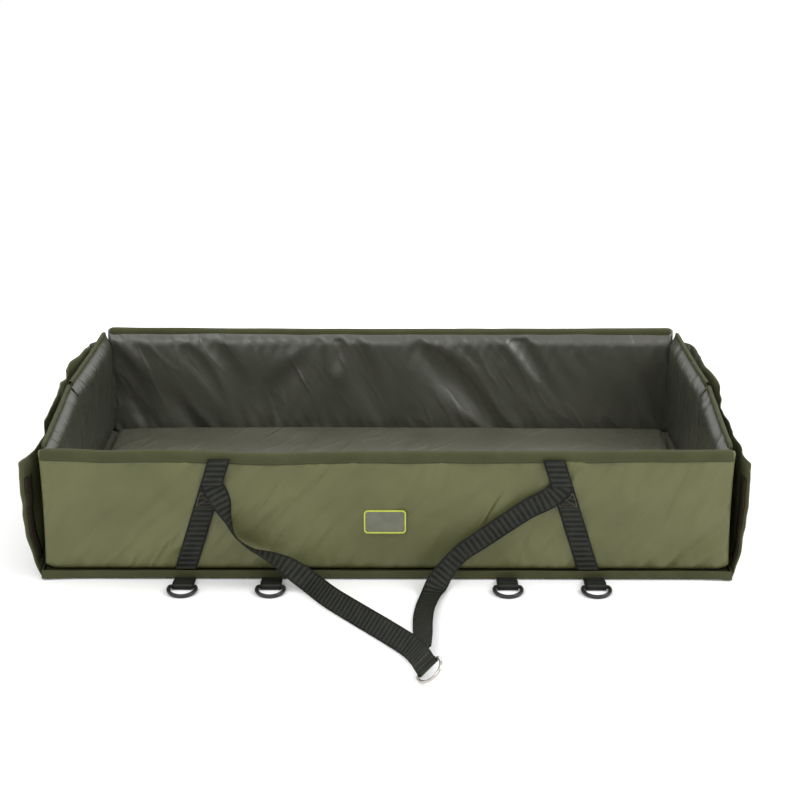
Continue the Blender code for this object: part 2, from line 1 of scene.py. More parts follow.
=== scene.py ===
"""The looks of a folding unhooking mat: padded cloth walls, floor pads, webbing and rings.

Metres, in the frame of the CAD model. Every piece rides on a CAD body and stands for the
nodes that it covers. The padded panels are swollen by a cloth simulation.
"""

import json
import math

import bmesh
import bpy
from mathutils import Matrix, Vector, noise
from mathutils.bvhtree import BVHTree


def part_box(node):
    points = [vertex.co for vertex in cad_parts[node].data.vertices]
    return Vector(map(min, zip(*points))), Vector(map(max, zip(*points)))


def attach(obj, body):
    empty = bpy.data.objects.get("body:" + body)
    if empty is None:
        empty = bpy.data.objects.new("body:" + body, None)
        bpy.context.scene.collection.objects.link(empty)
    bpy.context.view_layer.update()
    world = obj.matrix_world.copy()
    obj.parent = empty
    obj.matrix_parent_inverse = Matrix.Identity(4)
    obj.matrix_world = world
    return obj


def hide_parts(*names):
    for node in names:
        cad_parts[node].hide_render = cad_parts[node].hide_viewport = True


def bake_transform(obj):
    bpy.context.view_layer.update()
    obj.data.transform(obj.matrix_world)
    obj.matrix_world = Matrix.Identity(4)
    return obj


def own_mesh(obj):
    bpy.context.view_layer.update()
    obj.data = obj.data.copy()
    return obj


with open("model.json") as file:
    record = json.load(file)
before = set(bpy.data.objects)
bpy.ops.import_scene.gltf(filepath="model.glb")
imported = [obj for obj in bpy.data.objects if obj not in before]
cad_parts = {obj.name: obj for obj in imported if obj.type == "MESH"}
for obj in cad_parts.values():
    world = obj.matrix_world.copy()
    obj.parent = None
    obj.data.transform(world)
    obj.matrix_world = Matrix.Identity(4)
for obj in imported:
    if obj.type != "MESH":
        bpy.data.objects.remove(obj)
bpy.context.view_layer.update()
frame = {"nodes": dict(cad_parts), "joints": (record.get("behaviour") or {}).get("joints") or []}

# Camera, solved from the tray's corners in the photograph
camera_place = (0.030, -2.728, 1.116)
camera_pitch = math.radians(19.07)
camera_yaw = math.radians(0.25)
focal_share = 2.2725
film_width_mm = 36.0
view_reach = 100.0


def box(node):
    """The lowest and the highest corner of a CAD node."""
    return [Vector(corner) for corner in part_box(node)]


# Sizes that the frame gives
front_y = box("front_wall_cover")[0].y
liner_y = box("front_wall_liner")[1].y
edging_high = box("front_wall_binding")[1]
lip_low = box("front_base_binding")[0]
keeper_low = box("front_left_keeper")[0]
wing_low = box("right_front_wing_cover")[0]
patch_low, patch_high = box("patch_rim")
tab_low, tab_high = box("inner_left_ring_tab")
tape_low, tape_high = box("left_flap_tape")
half_width = box("spine_cover")[1].x
back_half_width = box("back_wall_cover")[1].x
half_depth = -front_y
wall_thick = liner_y - front_y
long_roll = liner_y - edging_high.y
joints = {joint["name"]: joint for joint in frame["joints"]}

# Cloth and webbing
gap = 0.0003
cloth = 0.0010
webbing_width = 0.032
webbing_thick = 0.0016
webbing_round_share = 0.3
rib_pitch = 0.0083
yarn_pitch = 0.0011
seam_inset = 0.0030
seam_half = 0.00045
dash_pitch = 0.0032
stitch_pitch = 0.0034
stitch_radius = 0.00050
stitch_shares = (0.12, 0.88)
stitch_lift = 0.0007

# Walls
panel_cell = 0.0055
wall_foot = 0.0128
edge_roll = 0.0040
roll_width = 0.0100
crown = 0.0020
side_draw = 0.0020
end_thick = 0.020
end_roll = 0.0135
end_pinch = 0.0060
end_bow = math.radians(2.2)
end_reach = 0.0030
shoulder = 0.0185
crease_mitre = 0.0070
crease_gap = 0.0012
corner_share = 0.965
corner_lift = 0.0080
corner_reach = 0.0135
front_sag = 0.0030
back_sag = 0.0020
# Soft places of the front wall's top: depth, then middle and reach as shares
front_dips = ((0.0040, -0.34, 0.16), (0.0020, -0.80, 0.08))

# Top bindings; a wave or curl is its height and the distance from one swell to the next
binding_drop = 0.0145
binding_thick = 0.0011
binding_cell = 0.010
end_fold = 0.0070
end_trim = 0.0014
tape_spring = 0.0002
tape_wave = (0.0011, 0.06)
tape_curl = (0.0007, 0.035)
roll_start = binding_drop * 0.6

# Creases of each kind of face: lean, pitch, length along and depth
end_creases = (0.35, 0.030, 0.16, 0.0010)
inner_creases = (-0.60, 0.030, 0.17, 0.0015)
back_creases = (-0.60, 0.030, 0.17, 0.0044)
outer_creases = (0.90, 0.020, 0.12, 0.0018)
outer_deepening = 0.0026
fan_x = -0.165
fan_reach = 0.08
fan_lean = 1.15
lean_wander = 0.25
lean_reach = 0.21
sewn_reach = 0.0125
sewn_fade = 0.0060
crease_cap = 0.0036
end_tuck = 0.009
wall_tuck = 0.022
tuck_wander = 0.010
tuck_wander_reach = 0.05
pucker = 0.0014
back_pucker = 0.0024
pucker_start = 0.012
top_pucker_reach = 0.024
foot_pucker_reach = 0.018

# Simulation of the padded walls
swell_steps = 24
foam_hold = 0.10
cloth_growth = (0.010, 0.018)
cloth_slant = 0.05
bulge_cap = 0.0020
dent_cap = 0.0035
tiny = 1e-9

# Base and floor
lip_thick = 0.0020
lip_round_share = 0.35
lip_cell = 0.012
lip_rows = 4
lip_wave = (0.0022, 0.07)
lip_flare = 0.0045
lip_flare_reach = 0.075
shell_edge = 0.0025
floor_cell_x = 0.010
floor_cell_y = 0.008
floor_cloth = 0.0012
floor_edge = 0.018
floor_step = 0.008
floor_seam_reach = 0.024
floor_calm_reach = 0.095
floor_wave = (0.0020, 0.09)
floor_ripple = (0.0009, 0.035)
floor_plump = 0.0115
floor_clear = 0.0055

# Rings
ring_inside = 0.0340
handle_wire = 0.0022
handle_ring_reach = 0.0280
handle_ring_shoulder = 0.0060
peg_wire = 0.0028
peg_ring_reach = 0.0295
peg_ring_shoulder = 0.0080
peg_ring_rest = 0.0002
tab_inset = 0.0008
tab_clear = 0.0004
tab_tail = 0.010
tab_fall = 0.004
turn_steps = 12

# Patch
patch_rim = 0.0022
patch_corner = 0.0060
patch_edge = 0.0005
patch_lift = 0.0004
patch_ground_thick = 0.0014
patch_rim_thick = 0.0022

# End flaps
flap_hem = 0.003
flap_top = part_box("left_end_flap")[1][2] - flap_hem
flap_count = (110, 30)
flap_thick = 0.0012
flap_trim = 0.0020
flap_clear = 0.0043
flap_ripple = 0.0070
flap_flare = 0.0160
flap_kink = 0.0034
flap_lean = 0.07
flap_fold = 0.0042
flap_fold_reach = 0.045
flap_crumple = 0.0014
flap_crumple_reach = 0.020
flap_wave = 0.0060
flap_wave_reach = 0.07
flap_corner = 0.0040
flap_front_dip_share = 0.10
flap_back_dip_share = 0.12
loops_rows = 22
loops_columns = 4
loops_inset = 0.0090
loops_width = 0.0200
loops_lift = 0.0017

# Straps and handle
strap_cell = 0.006
strap_contact = 0.010
strap_rest = 0.0002
strap_top_x = 0.2410
strap_bottom_x = 0.2915
strap_top_z = 0.1870
strap_bottom_z = 0.0150
strap_line_top = 0.1820
strap_line_bottom = 0.0215
lowest_cloth_z = 0.017
cloth_top_inset = 0.0105
highest_cloth_z = edging_high.z - cloth_top_inset
keeper_rest = 0.0058
keeper_lift = 0.0085
keeper_trim = 0.0005
box_top_drop = 0.004
box_low_drop = 0.024
box_half = 0.0125
leg_rest = 0.0024
leg_steps = 8
loop_tail = 0.012
ring_seam_inset = 0.015
ring_seam_half = 0.0135
# The legs' stations, root first, each with the direction across; None lies on the wall
left_leg_route = (
    ((-0.2512, None, 0.1520), (0.96, 0.00, 0.28)),
    ((-0.2472, None, 0.1420), (0.95, 0.02, 0.30)),
    ((-0.2370, -0.3130, 0.1250), (0.75, 0.62, 0.12)),
    ((-0.2273, -0.3180, 0.1010), (0.25, 0.92, -0.30)),
    ((-0.2155, -0.3200, 0.0730), (-0.08, 0.93, -0.36)),
    ((-0.1950, -0.3215, 0.0560), (0.04, 0.94, -0.33)),
    ((-0.1780, -0.3225, 0.0490), (0.20, 0.95, -0.18)),
    ((-0.1560, -0.3240, 0.0385), (0.38, 0.89, 0.15)),
    ((-0.1370, -0.3290, 0.0285), (0.50, 0.68, 0.50)),
    ((-0.1120, -0.3440, 0.0165), (0.54, 0.44, 0.70)),
    ((-0.0795, -0.3925, 0.0140), (0.53, 0.38, 0.75)),
    ((-0.0412, -0.4430, 0.0135), (0.53, 0.37, 0.76)),
    ((0.0045, -0.5030, 0.0137), (0.56, 0.36, 0.74)),
    ((0.0343, -0.5466, 0.0145), (0.64, 0.30, 0.71)),
    ((0.0470, -0.5830, 0.0185), (0.70, 0.25, 0.67)),
)
right_leg_route = (
    ((0.2530, None, 0.1520), (0.90, 0.00, -0.40)),
    ((0.2478, None, 0.1430), (0.80, 0.00, -0.60)),
    ((0.2330, -0.3085, 0.1300), (0.60, 0.00, -0.80)),
    ((0.2040, -0.3100, 0.1150), (0.45, 0.10, -0.88)),
    ((0.1700, -0.3130, 0.0925), (0.45, 0.15, -0.88)),
    ((0.1360, -0.3160, 0.0690), (0.52, 0.20, -0.83)),
    ((0.1080, -0.3200, 0.0500), (0.66, 0.30, -0.68)),
    ((0.0890, -0.3260, 0.0310), (0.80, 0.35, -0.45)),
    ((0.0760, -0.3380, 0.0155), (0.92, 0.32, -0.16)),
    ((0.0660, -0.3600, 0.0068), (0.97, 0.18, 0.10)),
    ((0.0580, -0.3950, 0.0068), (0.97, 0.10, 0.22)),
    ((0.0530, -0.4350, 0.0090), (0.92, 0.05, 0.38)),
    ((0.0515, -0.4800, 0.0118), (0.84, 0.10, 0.53)),
    ((0.0515, -0.5266, 0.0138), (0.75, 0.18, 0.62)),
    ((0.0500, -0.5640, 0.0140), (0.71, 0.24, 0.66)),
)


# Materials


class Shader:
    """A small helper that adds and links the nodes of one material."""

    def __init__(self, name, roughness, shine=0.5, metallic=0.0):
        self.material = bpy.data.materials.new(name)
        self.material.use_nodes = True
        self.tree = self.material.node_tree
        self.principled = self.tree.nodes["Principled BSDF"]
        self.set("Roughness", roughness)
        self.set("Specular IOR Level", shine)
        self.set("Metallic", metallic)
        self.heights = []

    def set(self, socket, value):
        self.principled.inputs[socket].default_value = value

    def add(self, kind, **values):
        made = self.tree.nodes.new("ShaderNode" + kind)
        for name, value in values.items():
            setattr(made, name, value)
        return made

    def put(self, socket, value):
        """Gives a socket a value, or links it when the value is another node's output."""
        if isinstance(value, bpy.types.NodeSocket):
            self.tree.links.new(value, socket)
        else:
            socket.default_value = value

    def math(self, operation, first, second=0.0):
        made = self.add("Math", operation=operation)
        self.put(made.inputs[0], first)
        self.put(made.inputs[1], second)
        return made.outputs[0]

    def away(self, value, middle):
        """How far a value lies from a middle one."""
        return self.math("ABSOLUTE", self.math("SUBTRACT", value, middle))

    def across(self, place):
        """How far across its strip a place lies."""
        split = self.add("SeparateXYZ")
        self.put(split.inputs[0], place)
        return split.outputs[1]

    def places(self, scale=(1.0, 1.0, 1.0), turn=0.0, kind="UV"):
        """Coordinates in metres on the cloth, turned and stretched."""
        source = self.add("TexCoord")
        made = self.add("Mapping", vector_type="TEXTURE")
        self.put(made.inputs["Vector"], source.outputs[kind])
        made.inputs["Rotation"].default_value = (0.0, 0.0, turn)
        made.inputs["Scale"].default_value = [1.0 / share for share in scale]
        return made.outputs[0]

    def noise(self, place, scale, detail=4.0):
        made = self.add("TexNoise")
        self.put(made.inputs["Vector"], place)
        made.inputs["Scale"].default_value = scale
        made.inputs["Detail"].default_value = detail
        return made.outputs["Fac"]

    def waves(self, place, pitch, direction="X"):
        """Bands across the cloth, pitch metres apart."""
        made = self.add("TexWave", bands_direction=direction)
        self.put(made.inputs["Vector"], place)
        made.inputs["Scale"].default_value = math.pi / (10.0 * pitch)
        return made.outputs["Fac"]

    def mix(self, share, first, second):
        """A colour between two, each of them a node's output or three numbers."""
        made = self.add("Mix", data_type="RGBA")
        self.put(made.inputs[0], share)
        for socket, tone in ((made.inputs[6], first), (made.inputs[7], second)):
            self.put(socket, (*tone, 1.0) if isinstance(tone, tuple) else tone)
        return made.outputs[2]

    def colour(self, value):
        self.put(self.principled.inputs["Base Color"], value)

    def ramp(self, value, low, high, first=0.0, last=1.0):
        """A value's part between low and high, stretched to run from first to last."""
        made = self.add("MapRange")
        self.put(made.inputs[0], value)
        for index, number in enumerate((low, high, first, last), start=1):
            made.inputs[index].default_value = number
        return made.outputs[0]

    def rough(self, value):
        self.put(self.principled.inputs["Roughness"], value)

    def bump(self, height, distance, strength=1.0):
        self.heights.append((height, distance, strength))

    def done(self):
        normal = None
        for height, distance, strength in self.heights:
            made = self.add("Bump")
            made.inputs["Strength"].default_value = strength
            made.inputs["Distance"].default_value = distance
            self.put(made.inputs["Height"], height)
            if normal:
                self.put(made.inputs["Normal"], normal)
            normal = made.outputs[0]
        if normal:
            self.put(self.principled.inputs["Normal"], normal)
        return self.material


def coated_cloth(name, colours, roughness, weave_pitch, crease, shine):
    """Woven nylon with a coating: fine weave, small creases and a satin shine."""
    shader = Shader(name, roughness, shine)
    flat = shader.places()
    across = shader.places(scale=(1.0, 0.28, 1.0), turn=math.radians(-32))
    down = shader.places(scale=(1.0, 0.20, 1.0), turn=math.radians(12))
    creases = shader.noise(across, scale=34.0, detail=3.0)
    folds = shader.noise(down, scale=22.0, detail=2.0)
    weave = shader.math(
        "MULTIPLY", shader.waves(flat, weave_pitch), shader.waves(flat, weave_pitch, "Y")
    )
    patches = shader.noise(flat, scale=7.0, detail=3.0)
    away = shader.away(shader.noise(across, scale=17.0, detail=2.0), 0.5)
    line = shader.ramp(away, 0.0, 0.07, 1.0, 0.0)
    ridges = shader.math("MULTIPLY", line, shader.ramp(patches, 0.42, 0.60))
    shade = shader.ramp(patches, 0.35, 0.65)
    base = shader.mix(shade, colours[0], colours[1])
    yarn = shader.ramp(weave, 0.0, 1.0, 0.0, 0.16)
    shader.colour(shader.mix(yarn, base, colours[2]))
    shader.rough(shader.ramp(creases, 0.3, 0.7, roughness - 0.06, roughness + 0.08))
    shader.bump(folds, crease * 1.6)
    shader.bump(creases, crease)
    shader.bump(ridges, crease * 1.2)
    shader.bump(weave, distance=0.00010, strength=0.5)
    return shader.done()


def woven_tape(name, colours, pitch):
    """Narrow matt tape with a fine cross rib and a row of stitches by its edge."""
    shader = Shader(name, 0.82, 0.2)
    flat = shader.places()
    ribs = shader.waves(flat, pitch)
    fuzz = shader.noise(flat, scale=900.0, detail=2.0)
    wear = shader.ramp(shader.noise(flat, scale=24.0), 0.35, 0.7)
    seam = shader.away(shader.across(flat), seam_inset)
    seam = shader.math("LESS_THAN", seam, seam_half)
    dash = shader.ramp(shader.waves(flat, dash_pitch), 0.25, 0.35)
    stitch = shader.math("MULTIPLY", seam, dash)
    base = shader.mix(wear, colours[0], colours[1])
    shader.colour(shader.mix(stitch, base, colours[2]))
    shader.bump(ribs, distance=0.00022)
    shader.bump(fuzz, distance=0.00015, strength=0.6)
    shader.bump(stitch, distance=0.00035)
    return shader.done()


def ribbed_webbing(name, colours):
    """Polypropylene webbing: strong cross ribs between two smooth selvages, with painted shade in the
    valleys between the ribs.
    """
    shader = Shader(name, 0.62, 0.2)
    flat = shader.places()
    centre = shader.away(shader.across(flat), webbing_width / 2)
    inside = shader.ramp(centre, webbing_width * 0.44, webbing_width * 0.40)
    ribs = shader.math("MULTIPLY", shader.waves(flat, rib_pitch), inside)
    yarns = shader.waves(flat, yarn_pitch, "Y")
    fuzz = shader.noise(flat, scale=700.0, detail=2.0)
    # Painted shade: the valleys between the ribs darken towards the near-black first colour
    shade = shader.ramp(ribs, 0.15, 0.9)
    base = shader.mix(shade, colours[0], colours[1])
    wear = shader.ramp(shader.noise(flat, scale=60.0), 0.45, 0.75, 0.0, 0.35)
    shader.colour(shader.mix(wear, base, colours[2]))
    shader.bump(ribs, distance=0.0011)
    shader.bump(yarns, distance=0.00022, strength=0.7)
    shader.bump(fuzz, distance=0.00015, strength=0.6)
    return shader.done()


def moulded(name, colours, roughness, grain, shine=0.5):
    """Moulded plastic, rubber or close cloth with a fine grain."""
    shader = Shader(name, roughness, shine)
    place = shader.places(kind="Object")
    speckle = shader.noise(place, scale=1400.0, detail=2.0)
    cloud = shader.ramp(shader.noise(place, scale=60.0), 0.35, 0.65)
    shader.colour(shader.mix(cloud, colours[0], colours[1]))
    shader.rough(shader.ramp(speckle, 0.3, 0.7, roughness - 0.05, roughness + 0.08))
    shader.bump(speckle, grain, 0.5)
    return shader.done()


def plated_metal(name):
    """Plated wire with fine scratches along it."""
    shader = Shader(name, 0.2, metallic=1.0)
    place = shader.places(kind="Object")
    stretched = shader.places(scale=(1.0, 12.0, 1.0), kind="Object")
    scratches = shader.noise(stretched, scale=500.0, detail=3.0)
    cloud = shader.ramp(shader.noise(place, scale=90.0), 0.3, 0.7)
    shader.colour(shader.mix(cloud, (0.36, 0.35, 0.32), (0.58, 0.56, 0.52)))
    shader.rough(shader.ramp(scratches, 0.35, 0.7, 0.14, 0.34))
    shader.bump(scratches, distance=0.00008, strength=0.5)
    return shader.done()


def brushed_loops(name, colours):
    """The fuzzy side of hook-and-loop tape."""
    shader = Shader(name, 0.95, 0.1)
    flat = shader.places()
    fuzz = shader.noise(flat, scale=1500.0, detail=3.0)
    clumps = shader.noise(flat, scale=260.0, detail=2.0)
    shader.colour(shader.mix(shader.ramp(clumps, 0.35, 0.7), colours[0], colours[1]))
    shader.bump(clumps, distance=0.0006)
    shader.bump(fuzz, distance=0.0003)
    return shader.done()


OUTER = coated_cloth(
    "outer_cloth_look",
    ((0.088, 0.092, 0.033), (0.114, 0.118, 0.045), (0.139, 0.143, 0.060)),
    roughness=0.44, weave_pitch=0.0011, crease=0.0017, shine=0.38
)
LINER = coated_cloth(
    "liner_cloth_look",
    ((0.054, 0.056, 0.040), (0.066, 0.067, 0.050), (0.086, 0.086, 0.068)),
    roughness=0.33, weave_pitch=0.0014, crease=0.0012, shine=0.65
)
# A darker copy of the liner cloth: the same fabric, darkened as painted shade for the inner faces of
# the end walls
SHADED_END_LINER = coated_cloth(
    "end_liner_painted_shade_look",
    ((0.038, 0.040, 0.028), (0.050, 0.051, 0.037), (0.068, 0.068, 0.052)),
    roughness=0.31, weave_pitch=0.0014, crease=0.0012, shine=0.75
)
FLOOR = coated_cloth(
    "floor_cloth_look",
    ((0.076, 0.076, 0.053), (0.098, 0.098, 0.070), (0.118, 0.118, 0.088)),
    roughness=0.46, weave_pitch=0.0014, crease=0.0014, shine=0.42
)
FLAP = coated_cloth(
    "flap_cloth_look",
    ((0.074, 0.080, 0.036), (0.092, 0.097, 0.047), (0.116, 0.122, 0.064)),
    roughness=0.58, weave_pitch=0.0016, crease=0.0014, shine=0.30
)
TRIM = woven_tape(
    "trim_tape_look",
    ((0.048, 0.051, 0.021), (0.059, 0.062, 0.027), (0.082, 0.086, 0.042)),
    pitch=0.0016,
)
# The first colour is painted shade for the rib valleys
WEBBING = ribbed_webbing(
    "webbing_look",
    ((0.005, 0.006, 0.004), (0.023, 0.025, 0.019), (0.036, 0.038, 0.028)),
)
PLASTIC = moulded(
    "ring_plastic_look",
    ((0.009, 0.009, 0.009), (0.014, 0.014, 0.014)),
    roughness=0.36, grain=0.00008
)
METAL = plated_metal("ring_metal_look")
LOOPS = brushed_loops(
    "hook_and_loop_look", ((0.022, 0.018, 0.011), (0.050, 0.042, 0.027))
)
PATCH_EDGE = moulded(
    "patch_edge_look",
    ((0.42, 0.48, 0.055), (0.48, 0.54, 0.075)),
    roughness=0.45, grain=0.00005
)
PATCH_GROUND = moulded(
    "patch_ground_look",
    ((0.115, 0.120, 0.085), (0.140, 0.145, 0.105)),
    roughness=0.6, grain=0.0001
)
# Near-black cloth: painted shade for the dark crevice between the front wall's foot and the lip
CREVICE_SHADE_CLOTH = moulded(
    "base_painted_shade_look",
    ((0.019, 0.021, 0.010), (0.022, 0.024, 0.011)),
    roughness=0.9, grain=0.0001, shine=0.1
)
THREAD = moulded(
    "thread_look",
    ((0.060, 0.054, 0.030), (0.085, 0.075, 0.042)),
    roughness=0.7, grain=0.00005
)


# Mesh tools


def add_object(name, data):
    made = bpy.data.objects.new(name, data)
    bpy.context.scene.collection.objects.link(made)
    return made


def new_piece(name, mesh, material, body):
    """An object of the mat, shaded smooth, that moves with a CAD body."""
    made = add_object(name, mesh)
    mesh.materials.clear()
    mesh.materials.append(material)
    mesh.shade_smooth()
    if body:
        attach(made, body)
    return made


def grid_faces(rows, columns, first=0):
    """The quads between the points of a grid, row by row."""
    starts = [first + i * columns + j for i in range(rows - 1) for j in range(columns - 1)]
    return [(a, a + columns, a + columns + 1, a + 1) for a in starts]


def lay_flat(mesh, flat):
    """Gives each corner of a mesh its point's place on the flat cloth."""
    layer = mesh.uv_layers.new(name="flat")
    for loop in mesh.loops:
        layer.data[loop.index].uv = flat[loop.vertex_index]


def grid_mesh(name, count, place, lay):
    """Quads between the points place(i, j); lay(i, j) is a point's place on the flat cloth."""
    rows, columns = count
    points = [place(i, j) for i in range(rows) for j in range(columns)]
    mesh = bpy.data.meshes.new(name)
    mesh.from_pydata(points, [], grid_faces(rows, columns))
    lay_flat(mesh, [lay(i, j) for i in range(rows) for j in range(columns)])
    return mesh


def run_lengths(points):
    """How far along its line each point lies."""
    lengths = [0.0]
    for a, b in zip(points, points[1:]):
        lengths.append(lengths[-1] + math.dist(a, b))
    return lengths


def strip_mesh(name, stations, wide, across_cells=4):
    """A flat strap through stations of (centre, across), laid flat by its length."""
    lengths = run_lengths([centre for centre, _ in stations])

    def place(i, j):
        centre, across = stations[i]
        return Vector(centre) + Vector(across) * wide * (j / across_cells - 0.5)

    def lay(i, j):
        return lengths[i], wide * j / across_cells

    return grid_mesh(name, (len(stations), across_cells + 1), place, lay)


def thicken(piece, thick, offset=0.0, rounding=0.0):
    skin = piece.modifiers.new("Thickness", "SOLIDIFY")
    skin.thickness = thick
    skin.offset = offset
    if rounding:
        edge = piece.modifiers.new("Edge", "BEVEL")
        edge.width = rounding
        edge.segments = 2
        edge.limit_method = "ANGLE"


def smoothen(piece):
    smooth = piece.modifiers.new("Smooth", "SUBSURF")
    smooth.levels = smooth.render_levels = 1


def strap(name, body, nodes, stations, wide=webbing_width, material=WEBBING):
    mesh = strip_mesh(name, stations, wide)
    piece = new_piece(name, mesh, material, body)
    thicken(piece, webbing_thick, rounding=webbing_thick * webbing_round_share)
    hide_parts(*nodes)
    return piece


def bumpy(point, wave, seed):
    """A smooth irregular wave of the given (height, distance between swells)."""
    height, size = wave
    return height * noise.noise(Vector(point) / size + Vector((seed, seed * 0.37, -seed)))


def new_curve(name, radius, resolution, dimensions="3D"):
    curve = bpy.data.curves.new(name, "CURVE")
    curve.dimensions = dimensions
    curve.bevel_depth = radius
    curve.bevel_resolution = resolution
    return curve


def add_line(curve, points, closed=False):
    """Adds a line of straight steps through the points to a curve."""
    spline = curve.splines.new("POLY")
    spline.points.add(len(points) - 1)
    for point, place in zip(spline.points, points):
        point.co = (*place, 1.0)
    spline.use_cyclic_u = closed
    return spline


# Padded walls


class Panel:
    """A padded wall in its own frame: along x, outer face at y 0, foot at z 0."""

    def __init__(self, name, size, edges, mitre, matrix):
        self.name, self.body, self.mitre, self.matrix = name, name + "_body", mitre, matrix
        self.length, self.tall, self.thick = size
        self.sag, self.roll, self.pinch = edges
        self.back = matrix.translation.y > 0.0
        self.rows = round(self.length / panel_cell) + 1
        self.columns = round(self.tall / panel_cell) + 1

    def ends(self, y):
        low, high = -self.length / 2, self.length / 2
        cut = crease_gap + crease_mitre * (1.0 - y / self.thick)
        if self.mitre < 0:
            low += cut
        if self.mitre > 0:
            high -= cut
        return low, high

    def drop(self, u):
        """How far the top hangs below its ends, with soft places on the front wall."""
        slack = 0.0
        if not self.mitre and not self.back:
            for deep, middle, reach in front_dips:
                slack += deep * math.exp(-(((u - middle) / reach) ** 2))
        return self.sag * (1.0 - u * u) + slack

    def reach_out(self, u, peak):
        """How far an end wall's top leans out to close the corner over a rolled top."""
        share = max(0.0, 1.0 - max(0.0, peak - roll_start) / shoulder)
        lean = corner_reach * self.back * (1.0 - math.sqrt(1.0 - share * share)) ** 1.5
        return -self.mitre * lean * max(0.0, -self.mitre * u) ** 8

    def at(self, u, v, y):
        low, high = self.ends(y)
        x = (low + high) / 2 + u * ((high - low) / 2 - side_draw * (1.0 - v * v))
        x += self.reach_out(u, (1.0 - v) * self.tall / 2)
        near = max(0.0, (abs(u) - corner_share) / (1.0 - corner_share))
        lift = 0.0 if self.mitre else corner_lift * near**2
        rise = (v + 1.0) / 2 * self.tall + lift * max(0.0, -v) ** 4
        return Vector((x, y, rise - self.drop(u) * max(0.0, v)))

    def inset(self, u, v, inner):
        """How far a face turns in towards the seam that runs round the wall."""
        side = (1.0 - abs(u)) * self.length / 2
        foot = (1.0 + v) * self.tall / 2
        peak = (1.0 - v) * self.tall / 2
        edge = min(side, foot, peak)
        roll = edge_roll if self.mitre or inner or edge < side else edge_roll * 0.6
        turned = roll * (1.0 - min(1.0, edge / roll_width)) ** 2
        turned += crown * (u**8 + v**4 - u**8 * v**4)
        if inner:
            share = 1.0 - min(1.0, max(0.0, peak - roll_start) / shoulder)
            rolled = self.roll * (1.0 - math.sqrt(1.0 - share * share))
            return max(turned, rolled + crown * u**8)
        return max(turned, self.pinch * u**8)

    def creases(self, point, side):
        """How far the cloth stands out between its creases, from its place on the wall."""
        x, z = point.x, point.z
        lined = side and self.back
        if lined:
            x = -x
        if self.mitre:
            lean, pitch, tall, deep = end_creases
        elif side:
            lean, pitch, tall, deep = back_creases if self.back else inner_creases
            lean += fan_lean * math.exp(-(((x - fan_x) / fan_reach) ** 2))
        else:
            lean, pitch, tall, deep = outer_creases
            deep += outer_deepening * max(0.0, x)
        seed = 5.0 * side + self.length * 3.0
        lean += lean_wander * noise.noise(Vector((x / lean_reach, seed, 0.0)))
        slid = x - lean * (z - self.tall / 2)
        streak = noise.noise(Vector((slid / pitch, z / tall, seed)))
        wide = noise.noise(Vector((slid / (pitch * 2.4), z / (tall * 1.3), seed + 9.0)))
        ridge = 0.5 - abs(noise.noise(Vector((slid / (pitch * 2.0), z / tall, seed + 21.0)))) * 2.4
        sharp = 1.9 if lined else 1.3
        field = deep * (0.5 * streak + 1.0 * wide + sharp * ridge)
        tuck = end_tuck if self.mitre else wall_tuck
        small = back_pucker if lined else pucker
        edges = ((self.tall - z, top_pucker_reach, 1.0), (z, foot_pucker_reach, 0.5))
        for away, reach, share in edges:
            wander = tuck_wander * noise.noise(Vector((x / tuck_wander_reach, seed, 3.0)))
            wave = math.sin(2.0 * math.pi * (x + 0.4 * away + wander) / tuck)
            field += small * share * wave * math.exp(-max(0.0, away - pucker_start) / reach)
        if lined and field > 0.0:
            field = crease_cap * math.tanh(field / crease_cap)
        free = min(1.0, max(0.0, (self.tall - z - sewn_reach) / sewn_fade))
        return field * free * free * (3.0 - 2.0 * free)

    def mesh(self):
        """A closed slab: the outer face, the inner face and the seam round both."""
        points, faces, sides = [], [], []
        us = [2.0 * i / (self.rows - 1) - 1.0 for i in range(self.rows)]
        vs = [2.0 * j / (self.columns - 1) - 1.0 for j in range(self.columns)]
        for side in (0, 1):
            start = len(points)
            for u in us:
                for v in vs:
                    y = self.inset(u, v, side)
                    points.append(self.at(u, v, self.thick - y if side else y))
            faces += grid_faces(self.rows, self.columns, start)
            sides += [side] * (len(faces) - len(sides))
        rim = self.rim()
        seam = len(points)
        for i, j in rim:
            near = self.inset(us[i], vs[j], 0)
            far = self.thick - self.inset(us[i], vs[j], 1)
            points.append(self.at(us[i], vs[j], (near + far) / 2))
        for side in (0, 1):
            start = side * self.rows * self.columns
            for n, (i, j) in enumerate(rim):
                k, l = rim[(n + 1) % len(rim)]
                a, b = start + i * self.columns + j, start + k * self.columns + l
                faces.append((a, b, seam + (n + 1) % len(rim), seam + n))
                sides.append(side)
        mesh = bpy.data.meshes.new(self.name)
        mesh.from_pydata(points, [], faces)
        mesh.polygons.foreach_set("material_index", sides)
        lay_flat(mesh, [(point.x, point.z) for point in points])
        shape = bmesh.new()
        shape.from_mesh(mesh)
        bmesh.ops.recalc_face_normals(shape, faces=shape.faces)
        shape.to_mesh(mesh)
        shape.free()
        return mesh

    def rim(self):
        made = [(i, 0) for i in range(self.rows)]
        made += [(self.rows - 1, j) for j in range(1, self.columns)]
        made += [(i, self.columns - 1) for i in range(self.rows - 2, -1, -1)]
        return made + [(0, j) for j in range(self.columns - 2, 0, -1)]

    def side(self, n):
        """0 for a vertex of the outer face, 1 for the inner face, 2 for the seam."""
        return n // (self.rows * self.columns)

    def hold(self, n):
        """How firmly the foam and the sewing hold a vertex."""
        if self.side(n) == 2:
            return 1.0
        i, j = divmod(n % (self.rows * self.columns), self.columns)
        edge = min(i, self.rows - 1 - i, j, self.columns - 1 - j)
        sewn = (self.columns - 1 - j) * self.tall / (self.columns - 1) < sewn_reach
        return 1.0 if sewn or edge == 0 else foam_hold

